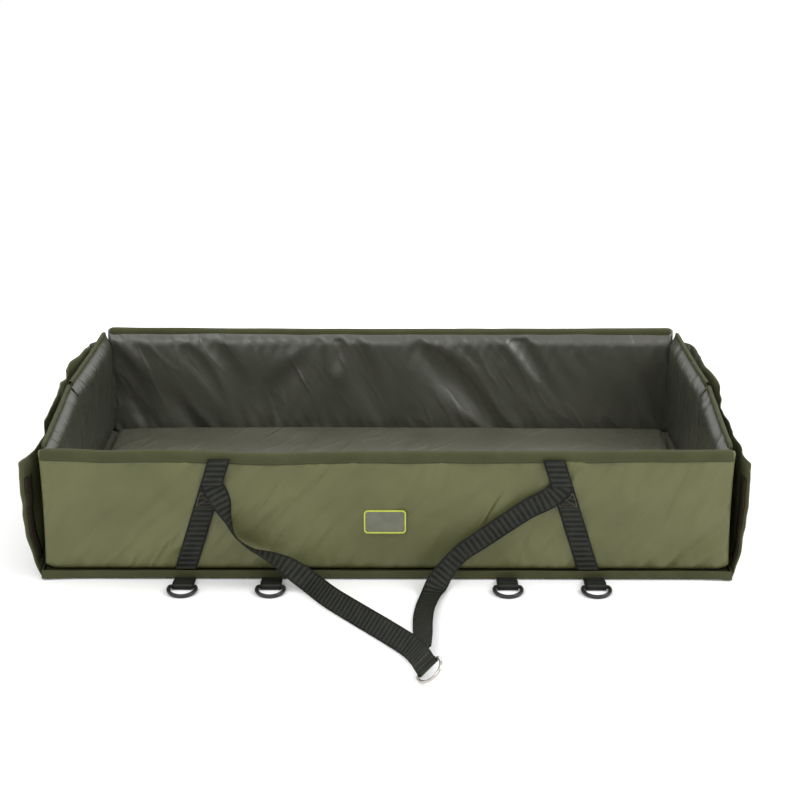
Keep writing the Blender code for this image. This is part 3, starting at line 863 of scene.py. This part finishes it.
    def cut(self, n, point, growth, slant):
        """Where a vertex lies on the cloth as it was cut, larger than the wall it covers."""
        grow = growth[min(1, self.side(n))]
        lean = slant * math.sin(7.0 * point.x + 1.9)
        return Vector((point.x * (1.0 + grow) + lean * point.z, point.y, point.z * (1.0 + grow)))


def swell(panel, growth, slant):
    """A wall ready for the simulation that puffs its cloth, and its points before that."""
    mesh = panel.mesh()
    made = add_object(panel.name + "_pad", mesh)
    held = made.vertex_groups.new(name="sewn")
    for vert in mesh.vertices:
        hold = panel.hold(vert.index)
        held.add([vert.index], hold, "REPLACE")
        if hold < 1.0:
            side = panel.side(vert.index)
            stand = panel.creases(vert.co, side)
            vert.co.y += stand if side else -stand
    start = [vert.co.copy() for vert in mesh.vertices]
    made.shape_key_add(name="start")
    cut = made.shape_key_add(name="cut")
    for n, point in enumerate(start):
        cut.data[n].co = panel.cut(n, point, growth, slant)
    modifier = made.modifiers.new("Cloth", "CLOTH")
    settings = modifier.settings
    settings.quality = 6
    settings.mass = 0.2
    settings.tension_stiffness = 30.0
    settings.compression_stiffness = 30.0
    settings.shear_stiffness = 12.0
    settings.bending_stiffness = 0.25
    settings.air_damping = 3.0
    settings.use_pressure = True
    settings.uniform_pressure_force = 0.8
    settings.vertex_group_mass = "sewn"
    settings.pin_stiffness = 1.0
    settings.rest_shape_key = cut
    settings.effector_weights.gravity = 0.0
    modifier.point_cache.frame_start = 1
    modifier.point_cache.frame_end = swell_steps
    return made, start


def let_swell(waiting):
    """Steps every waiting wall through the simulation and keeps its shape."""
    for step in range(1, swell_steps + 1):
        bpy.context.scene.frame_set(step)
    graph = bpy.context.evaluated_depsgraph_get()
    for panel, made, start in waiting:
        mesh = bpy.data.meshes.new_from_object(made.evaluated_get(graph))
        for vert, point in zip(mesh.vertices, start):
            moved = vert.co - point
            outward = -moved.y if panel.side(vert.index) == 0 else moved.y
            cap = bulge_cap if outward > 0.0 else dent_cap
            limit = cap * math.tanh(moved.length / cap) / max(moved.length, tiny)
            vert.co = point + moved * limit
        made.modifiers.clear()
        made.shape_key_clear()
        made.data = mesh
    bpy.context.scene.frame_set(1)


def halves(panel, made, nodes):
    """Splits a swollen wall at its seam into the outer cover and the inner liner."""
    # The end walls take the darker liner copy, painted shade
    lining = SHADED_END_LINER if panel.mitre else LINER
    looks = (("_cover", OUTER, "outer_cloth"), ("_liner", lining, "liner_cloth"))
    pieces = []
    for side, (kind, look, slot) in enumerate(looks):
        mesh = made.data.copy()
        shape = bmesh.new()
        shape.from_mesh(mesh)
        others = [face for face in shape.faces if face.material_index != side]
        bmesh.ops.delete(shape, geom=others, context="FACES")
        shape.transform(panel.matrix)
        for face in shape.faces:
            face.material_index = 0
        shape.to_mesh(mesh)
        shape.free()
        piece = new_piece(panel.name + kind + "_cloth", mesh, look, panel.body)
        smoothen(piece)
        thicken(piece, cloth, offset=-1.0)
        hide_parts(*nodes[side])
        pieces.append(piece)
    bpy.data.objects.remove(made, do_unlink=True)
    return pieces


def binding_places(panel):
    """Places along a wall's top, closer where the binding's ends fold shut."""
    count = round(panel.length / binding_cell)
    ends = [1.0 - 2.0 * end_fold * share / panel.length for share in (0.0, 0.25, 0.5, 1.0)]
    middle = [2.0 * n / count - 1.0 for n in range(count + 1)]
    return sorted([u for u in middle if abs(u) < ends[-1] - 0.5 / count] + ends + [-u for u in ends])


def binding(panel, nodes):
    """Tape folded over a wall's top, a little wavy along its edges."""
    us = binding_places(panel)
    count = len(us)
    near = crown - gap
    far = panel.thick - panel.roll + gap
    peak = panel.tall + binding_thick
    bend = (far - near) * 0.35
    profile = [
        (near, peak - binding_drop),
        (near - tape_spring, peak - binding_drop * 0.7),
        (near, peak - bend * 1.6),
        (near + bend * 0.12, peak - bend * 0.6),
        (near + bend * 0.55, peak - bend * 0.12),
        ((near + far) / 2, peak),
        (far - bend * 0.55, peak - bend * 0.12),
        (far - bend * 0.12, peak - bend * 0.6),
        (far, peak - bend * 1.6),
        (far + tape_spring, peak - binding_drop * 0.7),
        (far, peak - binding_drop),
    ]
    down = run_lengths(profile)
    crest = len(profile) // 2

    def place(i, j):
        u = us[i]
        y, z = profile[j]
        low, high = panel.ends(y)
        x = (low + high) / 2 + u * ((high - low) / 2 - end_trim)
        x += panel.reach_out(u, max(0.0, panel.tall - z))
        seed = panel.length + 2.0 * (j > crest)
        free = min(1.0, 2.2 * abs(j - crest) / crest)
        z += bumpy((x, 0.0, 0.0), tape_wave, seed) * (0.4 + 0.6 * free)
        y += bumpy((x, 0.0, z), tape_curl, seed + 4.0)
        shut = max(0.0, 1.0 - (1.0 - abs(u)) * panel.length / 2 / end_fold) ** 2
        shut *= 0.0 if u * panel.mitre > 0.0 else 1.0
        y += ((near + far) / 2 - y) * 0.80 * shut
        z -= (z - peak + binding_drop) * 0.30 * shut
        return panel.matrix @ Vector((x, y, z - panel.drop(u)))

    def lay(i, j):
        return panel.length * (us[i] + 1.0) / 2, min(down[j], down[-1] - down[j])

    name = panel.name + "_binding_tape"
    mesh = grid_mesh(name, (count, len(profile)), place, lay)
    piece = new_piece(name, mesh, TRIM, panel.body)
    smoothen(piece)
    thicken(piece, binding_thick, offset=1.0)
    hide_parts(*nodes)


def long_panel(name, side):
    turn = 0.0 if side < 0 else math.pi
    place = Vector((0.0, side * half_depth, wall_foot))
    matrix = Matrix.Translation(place) @ Matrix.Rotation(turn, 4, "Z")
    length = 2 * (half_width if side < 0 else back_half_width)
    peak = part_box(name + "_binding")[1][2]
    size = (length, peak - wall_foot - 2 * binding_thick, wall_thick)
    edges = (front_sag if side < 0 else back_sag, long_roll, crown)
    return Panel(name, size, edges, 0, matrix)


def wing_panel(name, side_x, side_y):
    joint = Vector(joints[name + "_fold"]["pos_m"])
    reach = abs(joint.y) + end_reach
    bow = Matrix.Rotation(side_x * side_y * end_bow, 4, "Z")
    stand = Matrix.Rotation(side_x * math.pi / 2, 4, "Z")
    start = Vector((side_x * end_thick, side_y * (end_reach - reach / 2), 0.0))
    foot = Vector((joint.x, joint.y, wing_low.z))
    matrix = Matrix.Translation(foot) @ bow @ Matrix.Translation(start) @ stand
    mitre = -1 if side_x * side_y > 0 else 1
    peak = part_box(name + "_binding")[1][2]
    size = (reach, peak - wing_low.z - 2 * binding_thick, end_thick)
    return Panel(name, size, (back_sag, end_roll, end_pinch), mitre, matrix)


def walls():
    panels = [long_panel("front_wall", -1), long_panel("back_wall", 1)]
    for end, side_x in (("left", -1), ("right", 1)):
        for row, side_y in (("front", -1), ("back", 1)):
            panels.append(wing_panel(f"{end}_{row}_wing", side_x, side_y))
    waiting = [(panel, *swell(panel, cloth_growth, cloth_slant)) for panel in panels]
    let_swell(waiting)
    made = {}
    for panel, pad, _ in waiting:
        cover = [panel.name + "_cover", panel.name + "_foam"]
        made[panel.name] = halves(panel, pad, (cover, [panel.name + "_liner"]))
        binding(panel, [panel.name + "_binding"])
    return made


# Base


def closer(step, count):
    """A step of a row as a place from -1 to 1, with the steps closer near both ends."""
    share = 2.0 * step / (count - 1) - 1.0
    return share * (1.5 - 0.5 * share * share)


def floor_pad(name, side):
    """One half of the floor: low under the walls, and raised and puffy between them."""
    low, high = box(name + "_floor_pad")
    middle, reach = (low + high) / 2, (high - low) / 2
    count = (round(2 * reach.x / floor_cell_x) + 1, round(2 * reach.y / floor_cell_y) + 1)
    under_x = reach.x - joints["right_back_wing_fold"]["pos_m"][0] + floor_clear

    def place(i, j):
        u, v = closer(i, count[0]), closer(j, count[1])
        x, y = middle.x + u * reach.x, middle.y + v * reach.y
        edge = min((1.0 - abs(u)) * reach.x, (1.0 - v * side) * reach.y)
        share = min(1.0, edge / floor_edge)
        full = math.sqrt(max(0.0, 1.0 - (1.0 - share) ** 2))
        away = min((1.0 - abs(u)) * reach.x - under_x, (1.0 - v * side) * reach.y - 2.0 * floor_clear)
        share = min(1.0, max(0.0, away / floor_step))
        share = math.sqrt(1.0 - (1.0 - share) ** 2)
        middle_edge = (1.0 + v * side) * reach.y
        full *= 1.0 - 0.30 * (1.0 - min(1.0, middle_edge / floor_seam_reach)) ** 2
        calm = min(1.0, middle_edge / floor_calm_reach) ** 2 * (1.0 - 0.30 * u**4)
        swell_up = bumpy((x * 0.6, y, 0.0), floor_wave, 7.0 + side)
        swell_up += bumpy((x + y, y - x, 0.0), floor_ripple, 2.0 + side)
        rise = (high.z - low.z - floor_cloth) * (0.34 + 0.66 * full)
        rise += (floor_plump + swell_up) * share * calm
        return Vector((x, y, low.z + rise))

    def lay(i, j):
        return reach.x * (1.0 + closer(i, count[0])), reach.y * (1.0 + closer(j, count[1]))

    mesh = grid_mesh(name + "_floor", count, place, lay)
    piece = new_piece(name + "_floor_cushion", mesh, FLOOR, name + "_base")
    smoothen(piece)
    thicken(piece, floor_cloth, offset=-1.0)
    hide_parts(name + "_floor_pad")


def base_trim(name, side):
    """The sewn lip round one half of the base."""
    low, high = box(name + "_binding")
    x = high.x - lip_thick / 2
    outer = (low.y if side < 0 else high.y) - side * lip_thick / 2
    inner = high.y if side < 0 else low.y
    corners = [(-x, inner), (-x, outer), (x, outer), (x, inner)]
    stations = []
    for (x0, y0), (x1, y1) in zip(corners, corners[1:]):
        steps = max(1, round(math.hypot(x1 - x0, y1 - y0) / lip_cell))
        for step in range(steps):
            share = step / steps
            stations.append((x0 + (x1 - x0) * share, y0 + (y1 - y0) * share))
    stations.append(corners[-1])
    lengths = run_lengths(stations)

    def place(i, j):
        px, py = stations[i]
        z = low.z + j / (lip_rows - 1) * (high.z - low.z)
        wave = bumpy((px, py, 0.0), lip_wave, 5.0 + side) * (1.0 if j == lip_rows - 1 else 0.3)
        near_x = max(0.0, 1.0 - (x - abs(px)) / lip_flare_reach)
        near_y = max(0.0, 1.0 - abs(py - outer) / lip_flare_reach)
        flare = lip_flare * (near_x * near_y) ** 2 * (1.0 - 0.25 * j)
        py += side * flare
        return Vector((px, py, z + min(0.0, wave) + (0.0 if j else max(0.0, wave))))

    def lay(i, j):
        return lengths[i], (high.z - low.z) * j / (lip_rows - 1)

    mesh = grid_mesh(name + "_lip", (len(stations), lip_rows), place, lay)
    piece = new_piece(name + "_lip_tape", mesh, TRIM, name)
    thicken(piece, lip_thick, rounding=lip_thick * lip_round_share)
    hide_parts(name + "_binding")


def base_shell(name):
    """The cloth round one half's foam, which shows only in the crevice over the lip, coloured near
    black as painted shade for that crevice.
    """
    low, high = box(name + "_cover")
    reach = (high - low) / 2
    shape = bmesh.new()
    bmesh.ops.create_cube(shape, size=2.0)
    bmesh.ops.scale(shape, vec=reach, verts=shape.verts)
    bmesh.ops.translate(shape, vec=(low + high) / 2, verts=shape.verts)
    mesh = bpy.data.meshes.new(name + "_shell")
    shape.to_mesh(mesh)
    shape.free()
    piece = new_piece(name + "_shell_cloth", mesh, CREVICE_SHADE_CLOTH, name)
    edge = piece.modifiers.new("Edge", "BEVEL")
    edge.width = shell_edge
    edge.segments = 3
    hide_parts(name + "_cover", name + "_foam")


def base():
    for name, side in (("front", -1), ("back", 1)):
        base_trim(name + "_base", side)
        base_shell(name + "_base")
        floor_pad(name, side)
    repaint("spine_cover", FLAP)
    repaint("spine_liner", FLOOR)


def repaint(node, material):
    for slot in frame["nodes"][node].material_slots:
        slot.material = material


# Straps and handle


class Surface:
    """The front wall's cover after the simulation, to lay straps and the patch on."""

    def __init__(self, piece):
        mesh = piece.data
        points = [vert.co for vert in mesh.vertices]
        self.tree = BVHTree.FromPolygons(points, [face.vertices for face in mesh.polygons])

    def front(self, x, z):
        """How far forward the cloth stands at a place on the front wall."""
        z = max(lowest_cloth_z, min(z, highest_cloth_z))
        found = self.tree.ray_cast(Vector((x, -1.0, z)), Vector((0.0, 1.0, 0.0)))
        return found[0].y if found[0] else front_y

    def under(self, x, z, wide, tall=0.0):
        """The furthest forward that the cloth comes under a piece of the given size."""
        places = []
        for i in (-1.0, -0.5, 0.0, 0.5, 1.0):
            for j in (-1.0, 0.0, 1.0):
                places.append(self.front(x + i * wide / 2, z + j * tall / 2))
        return min(places)


def strap_line(side, z):
    share = (strap_line_top - z) / (strap_line_top - strap_line_bottom)
    return side * (strap_top_x + share * (strap_bottom_x - strap_top_x))


def front_strap(surface, name, node, side, span, lift, wide):
    """Webbing sewn on the front wall along the slanted line, between two heights."""
    high, low = span
    steps = round((high - low) / strap_cell)
    depths = []
    for n in range(steps + 1):
        z = high + (low - high) * n / steps
        depths.append(surface.under(strap_line(side, z), z, wide, strap_contact))
    stations = []
    for n in range(steps + 1):
        z = high + (low - high) * n / steps
        around = depths[max(0, n - 2) : n + 3]
        y = sum(around) / len(around) - lift - webbing_thick / 2
        stations.append(((strap_line(side, z), y, z), (1.0, 0.0, 0.0)))
    strap(name, "front_wall_body", [node], stations, wide)


def smooth_route(stations, steps):
    """Stations of (centre, across), with steps of a smooth curve between each two."""
    rows = [(Vector(centre), Vector(across)) for centre, across in stations]
    rows = [rows[0]] + rows + [rows[-1]]
    made = []
    for a, b, c, d in zip(rows, rows[1:], rows[2:], rows[3:]):
        for step in range(steps):
            t = step / steps
            mixed = []
            for n in range(2):
                bend = 2 * a[n] - 5 * b[n] + 4 * c[n] - d[n]
                twist = 3 * b[n] - a[n] - 3 * c[n] + d[n]
                mixed.append((2 * b[n] + (c[n] - a[n]) * t + bend * t**2 + twist * t**3) / 2)
            made.append(mixed)
    made.append(list(rows[-1]))
    return made


def squared(stations):
    """The same stations, with each across at right angles to the route."""
    last = len(stations) - 1
    made = []
    for n, (centre, across) in enumerate(stations):
        along = stations[min(n + 1, last)][0] - stations[max(n - 1, 0)][0]
        along.normalize()
        made.append((centre, (across - along * across.dot(along)).normalized()))
    return made


def leg_route(surface, route):
    """A leg's smooth stations, with its root laid on the wall."""
    stations = []
    for (x, y, z), across in route:
        if y is None:
            y = surface.under(x, z, webbing_width, strap_contact) - leg_rest - webbing_thick
        stations.append(((x, y, z), across))
    return squared(smooth_route(stations, leg_steps))


def handle(surface):
    """The two legs, blended from the wall at their roots, and the loop round the ring."""
    bar = -Vector(joints["handle_ring_turn"]["axis"])
    place = Vector(joints["handle_ring_turn"]["pos_m"])
    out = Vector((0.0, 0.0, 1.0)).cross(bar) * -1.0
    out.normalize()
    up = bar.cross(out) * -1.0
    bend = handle_wire + gap + webbing_thick / 2
    left = leg_route(surface, left_leg_route)
    for n in range(turn_steps + 1):
        angle = math.pi * (0.5 - n / turn_steps)
        left.append((place + (out * math.cos(angle) + up * math.sin(angle)) * bend, bar))
    left.append((place - up * bend - out * (loop_tail / 2), bar))
    left.append((place - up * bend - out * loop_tail, bar))
    legs = (("left", left), ("right", leg_route(surface, right_leg_route)))
    for name, stations in legs:
        node = name + "_handle_leg"
        piece = strap(name + "_leg_webbing", None, [node], stations)
        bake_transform(piece)
    sizes = (handle_wire, ring_inside, handle_ring_reach, handle_ring_shoulder)
    ring("handle_ring", "handle_ring_body", place, bar, out, sizes, METAL)
    seam = place - out * ring_seam_inset + up * (bend + webbing_thick / 2 + gap)
    reach = bar * ring_seam_half
    stitch_line("ring_stitches", "handle_body", seam - reach, seam + reach)


def stitch_line(name, body, start, end):
    """A row of lockstitches, standing a little out of the webbing."""
    count = max(2, round((end - start).length / stitch_pitch))
    curve = new_curve(name, stitch_radius, 2)
    curve.use_fill_caps = True
    for n in range(count):
        add_line(curve, [start.lerp(end, (n + share) / count) for share in stitch_shares])
    curve.materials.append(THREAD)
    made = add_object(name, curve)
    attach(made, body)


def sewn_box(surface, name, side, high, low):
    """The box of stitches, crossed by an X, that anchors a strap below its keeper."""
    corners = []
    for z in (high, low):
        for reach in (-box_half, box_half):
            x = strap_line(side, z) + reach
            y = surface.under(strap_line(side, z), z, webbing_width, strap_contact)
            corners.append(Vector((x, y - webbing_thick - stitch_lift, z)))
    a, b, c, d = corners
    rows = ((a, b), (c, d), (a, c), (b, d), (a, d), (b, c))
    for n, (start, end) in enumerate(rows):
        stitch_line(f"{name}_stitches_{n}", "front_wall_body", start, end)


# Rings


def ring(node, body, place, bar, out, sizes, material):
    """A D-shaped ring of round wire: a straight bar through place, bowed towards out."""
    wire, inside, reach, shoulder_rise = sizes
    half = inside / 2 + wire
    outline = [(-half * 0.8 + 1.6 * half * n / 8, 0.0) for n in range(9)]
    corner = []
    for n in range(1, 6):
        angle = math.pi / 2 * n / 5
        rise = shoulder_rise * (1.0 - math.cos(angle))
        corner.append((half * (0.8 + 0.2 * math.sin(angle)), rise))
    outline += corner
    for n in range(1, 32):
        angle = math.pi * n / 32
        bow = (reach - shoulder_rise) * math.sin(angle)
        outline.append((half * math.cos(angle), shoulder_rise + bow))
    outline += [(-u, v) for u, v in reversed(corner)]
    curve = new_curve(node + "_wire", wire, 5)
    spline = add_line(curve, [place + bar * u + out * v for u, v in outline], closed=True)
    spline.use_smooth = True
    curve.materials.append(material)
    made = add_object(node + "_wire", curve)
    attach(made, body)
    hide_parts(node)


def peg_ring(name):
    """A ring for a ground peg, and its tab of webbing under the lip."""
    hinge = Vector(joints[name + "_ring_turn"]["pos_m"])
    layer_z = gap * 0.7 + webbing_thick / 2
    bend = peg_wire + gap + webbing_thick / 2
    under_lip = -half_depth - tab_inset
    lip_face = lip_low.y - tab_clear
    path = [(under_lip, layer_z), (lip_face, layer_z)]
    for n in range(turn_steps + 1):
        angle = math.pi * n / turn_steps
        path.append((hinge.y - bend * math.sin(angle), hinge.z - bend * math.cos(angle)))
    path.append((hinge.y + tab_tail, hinge.z + bend * 0.8))
    path.append((lip_face - tab_fall, layer_z + webbing_thick * 1.5))
    path.append((lip_face, layer_z + webbing_thick + gap))
    stations = [((hinge.x, y, z), (1.0, 0.0, 0.0)) for y, z in path]
    wide = tab_high.x - tab_low.x
    strap(name + "_tab", "front_base", [name + "_ring_tab"], stations, wide)
    rest = peg_wire + peg_ring_rest
    out = Vector((0.0, -peg_ring_reach, rest - hinge.z)).normalized()
    sizes = (peg_wire, ring_inside, peg_ring_reach, peg_ring_shoulder)
    along = Vector((1.0, 0.0, 0.0))
    node = name + "_peg_ring"
    ring(node, name + "_ring_body", hinge, along, out, sizes, PLASTIC)


# Patch


def rounded_outline(curve, wide, tall, radius):
    outline = []
    for side_x, side_z, quarter in ((1, 1, 0), (-1, 1, 1), (-1, -1, 2), (1, -1, 3)):
        for n in range(turn_steps + 1):
            angle = math.pi / 2 * (quarter + n / turn_steps)
            x = side_x * (wide / 2 - radius) + radius * math.cos(angle)
            z = side_z * (tall / 2 - radius) + radius * math.sin(angle)
            outline.append((x, z, 0.0))
    add_line(curve, outline, closed=True)


def patch(surface):
    """A bare rubber patch: a grey ground inside a raised rim."""
    wide, tall = patch_high.x - patch_low.x, patch_high.z - patch_low.z
    x, z = (patch_low.x + patch_high.x) / 2, (patch_low.z + patch_high.z) / 2
    rim, corner, edge = patch_rim, patch_corner, patch_edge
    back = surface.under(x, z, wide * 0.6, tall * 0.6) + patch_lift
    plates = (
        ("patch_ground", patch_ground_thick, PATCH_GROUND, "patch_field"),
        ("patch_rim", patch_rim_thick, PATCH_EDGE, "patch_edge"),
    )
    for node, thick, look, slot in plates:
        curve = new_curve(node + "_plate", edge, 3, "2D")
        curve.fill_mode = "BOTH"
        curve.extrude = thick / 2 - edge
        inside = (wide - 2 * rim, tall - 2 * rim)
        if node == "patch_rim":
            rounded_outline(curve, wide - 2 * edge, tall - 2 * edge, corner - edge)
            rounded_outline(curve, inside[0] + 2 * edge, inside[1] + 2 * edge, corner - rim + edge)
        else:
            size = (inside[0] - 2 * edge, inside[1] - 2 * edge)
            rounded_outline(curve, *size, corner - rim - edge)
        made = add_object(node + "_plate", curve)
        curve.materials.append(look)
        made.location = (x, back - thick / 2, z)
        made.rotation_euler = (math.pi / 2, 0.0, 0.0)
        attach(made, "front_wall_body")
        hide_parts(node)


# End flaps


def flap_place(side, along, up, lift):
    """A point on a loose end flap: along from -1 at the front to 1, up from 0 to 1."""
    reach = half_depth - wall_thick
    y = along * (half_depth - flap_trim)
    bow = math.sin(end_bow) * reach * max(0.0, 1.0 - abs(y) / reach)
    ripple = flap_ripple * (1.0 + math.sin(9.0 * along + 1.2 * side)) / 2
    near_front = max(0.0, -along)
    flare = flap_flare * near_front**6
    x = half_width + 2 * gap + flap_clear + bow * min(1.0, 3.0 * up) - lift
    hug = 1.0 - max(0.0, along) ** 5
    x += (ripple * hug + flare) * (1.0 - (1.0 - up) ** 3.4)
    kink = noise.noise(Vector((up * 7.0, along * 2.0, 17.0 * side)))
    x += flap_kink * kink * near_front**6 * min(1.0, 6.0 * up)
    loose = min(1.0, 4.0 * up) * (1.0 - 0.85 * near_front**12) * hug
    slant = y + flap_lean * side * up
    folds = noise.noise(Vector((slant / flap_fold_reach, up * 1.3, 3.0 * side)))
    crumple = noise.noise(Vector((slant / flap_crumple_reach, up * 3.0, 8.0 + side)))
    x += loose * (flap_fold * (folds + 0.35) + flap_crumple * crumple)
    dip = flap_front_dip_share * min(1.0, near_front / 0.6)
    dip += flap_back_dip_share * max(0.0, (along - 0.5) / 0.5) ** 2
    wave = flap_wave * noise.noise(Vector((y / flap_wave_reach, 2.0 * side, 0.0)))
    peak = flap_top * (1.0 - dip) + wave * min(1.0, 6.0 * (1.0 - abs(along)))
    y -= flap_corner * up * near_front**10
    return Vector((side * x, y, lip_low.z + up * (peak - lip_low.z)))


def end_flap(end, side):
    """The loose cloth over one end of the tray."""
    last_i, last_j = flap_count[0] - 1, flap_count[1] - 1

    def place(i, j):
        return flap_place(side, 2.0 * i / last_i - 1.0, j / last_j, 0.0)

    def lay(i, j):
        return 2 * half_depth * i / last_i, flap_top * j / last_j

    node = end + "_end_flap"
    mesh = grid_mesh(node, flap_count, place, lay)
    piece = new_piece(node + "_cloth", mesh, FLAP, end + "_flap_body")
    smoothen(piece)
    thicken(piece, flap_thick)
    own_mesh(piece)
    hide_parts(node)


def flap_loops(end, side):
    """The strip of hook-and-loop tape inside a flap's front edge."""
    tall = tape_high.z - tape_low.z
    reach = half_depth - flap_trim
    rise = flap_top * 0.9 - lip_low.z

    def place(i, j):
        along = -1.0 + (loops_inset + loops_width * j / (loops_columns - 1)) / reach
        up = (tape_low.z - lip_low.z + tall * i / (loops_rows - 1)) / rise
        return flap_place(side, along, up, loops_lift)

    def lay(i, j):
        return tall * i / (loops_rows - 1), loops_width * j / (loops_columns - 1)

    node = end + "_flap_tape"
    mesh = grid_mesh(node, (loops_rows, loops_columns), place, lay)
    piece = new_piece(node + "_loops", mesh, LOOPS, end + "_flap_body")
    thicken(piece, flap_thick)
    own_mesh(piece)
    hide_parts(node)


def front_fittings(surface):
    for end, side in (("left", -1), ("right", 1)):
        name = f"front_{end}_strap"
        span = (strap_top_z, strap_bottom_z)
        front_strap(surface, name + "_webbing", name, side, span, strap_rest, webbing_width)
        name = f"front_{end}_keeper"
        span = (strap_top_z - keeper_trim, keeper_low.z + keeper_lift)
        front_strap(surface, name + "_webbing", name, side, span, keeper_rest, webbing_width)
        box_span = (keeper_low.z - box_top_drop, keeper_low.z - box_low_drop)
        sewn_box(surface, name, side, *box_span)
    handle(surface)
    for name in ("outer_left", "inner_left", "inner_right", "outer_right"):
        peg_ring(name)
    patch(surface)


# Stage, light and camera

studio_reach = 30.0
studio_light = 1.03
# Lamps: name, place, target, size and power
lamps = (
    ("key", (-1.2, -1.6, 2.6), (0.0, 0.0, 0.1), (2.4, 1.4), 24.0),
    ("side", (1.9, -0.5, 1.7), (0.0, 0.2, 0.1), (1.0, 1.0), 24.0),
    ("back", (0.4, 2.2, 2.2), (0.0, 0.0, 0.1), (2.6, 1.0), 30.0),
)


def stage():
    mesh = bpy.data.meshes.new("studio_floor")
    reach = studio_reach
    corners = [(-reach, -reach, 0), (reach, -reach, 0), (reach, reach, 0), (-reach, reach, 0)]
    mesh.from_pydata(corners, [], [(0, 1, 2, 3)])
    floor = add_object("studio_floor", mesh)
    shader = Shader("studio_floor_look", 0.9, 0.0)
    shader.set("Base Color", (0.97, 0.97, 0.97, 1.0))
    mesh.materials.append(shader.done())


def area_light(name, place, target, size, power):
    data = bpy.data.lights.new(name, "AREA")
    data.shape = "RECTANGLE"
    data.size, data.size_y = size
    data.energy = power
    lamp = add_object(name, data)
    lamp.location = place
    direction = Vector(target) - Vector(place)
    lamp.rotation_euler = direction.to_track_quat("-Z", "Y").to_euler()


def light():
    world = bpy.data.worlds.new("studio")
    bpy.context.scene.world = world
    world.use_nodes = True
    world.node_tree.nodes["Background"].inputs["Color"].default_value = (1.0, 1.0, 1.0, 1.0)
    world.node_tree.nodes["Background"].inputs["Strength"].default_value = studio_light
    for lamp in lamps:
        area_light(*lamp)


def camera():
    data = bpy.data.cameras.new("camera")
    data.sensor_width = film_width_mm
    data.lens = focal_share * film_width_mm
    data.clip_end = view_reach
    made = add_object("camera", data)
    made.location = camera_place
    made.rotation_euler = (math.pi / 2 - camera_pitch, 0.0, camera_yaw)
    bpy.context.scene.camera = made


# The whole mat

walls_made = walls()
base()
front_fittings(Surface(walls_made["front_wall"][0]))
for end, side in (("left", -1), ("right", 1)):
    end_flap(end, side)
    flap_loops(end, side)
stage()
light()
camera()
bpy.context.scene.view_settings.view_transform = "Standard"
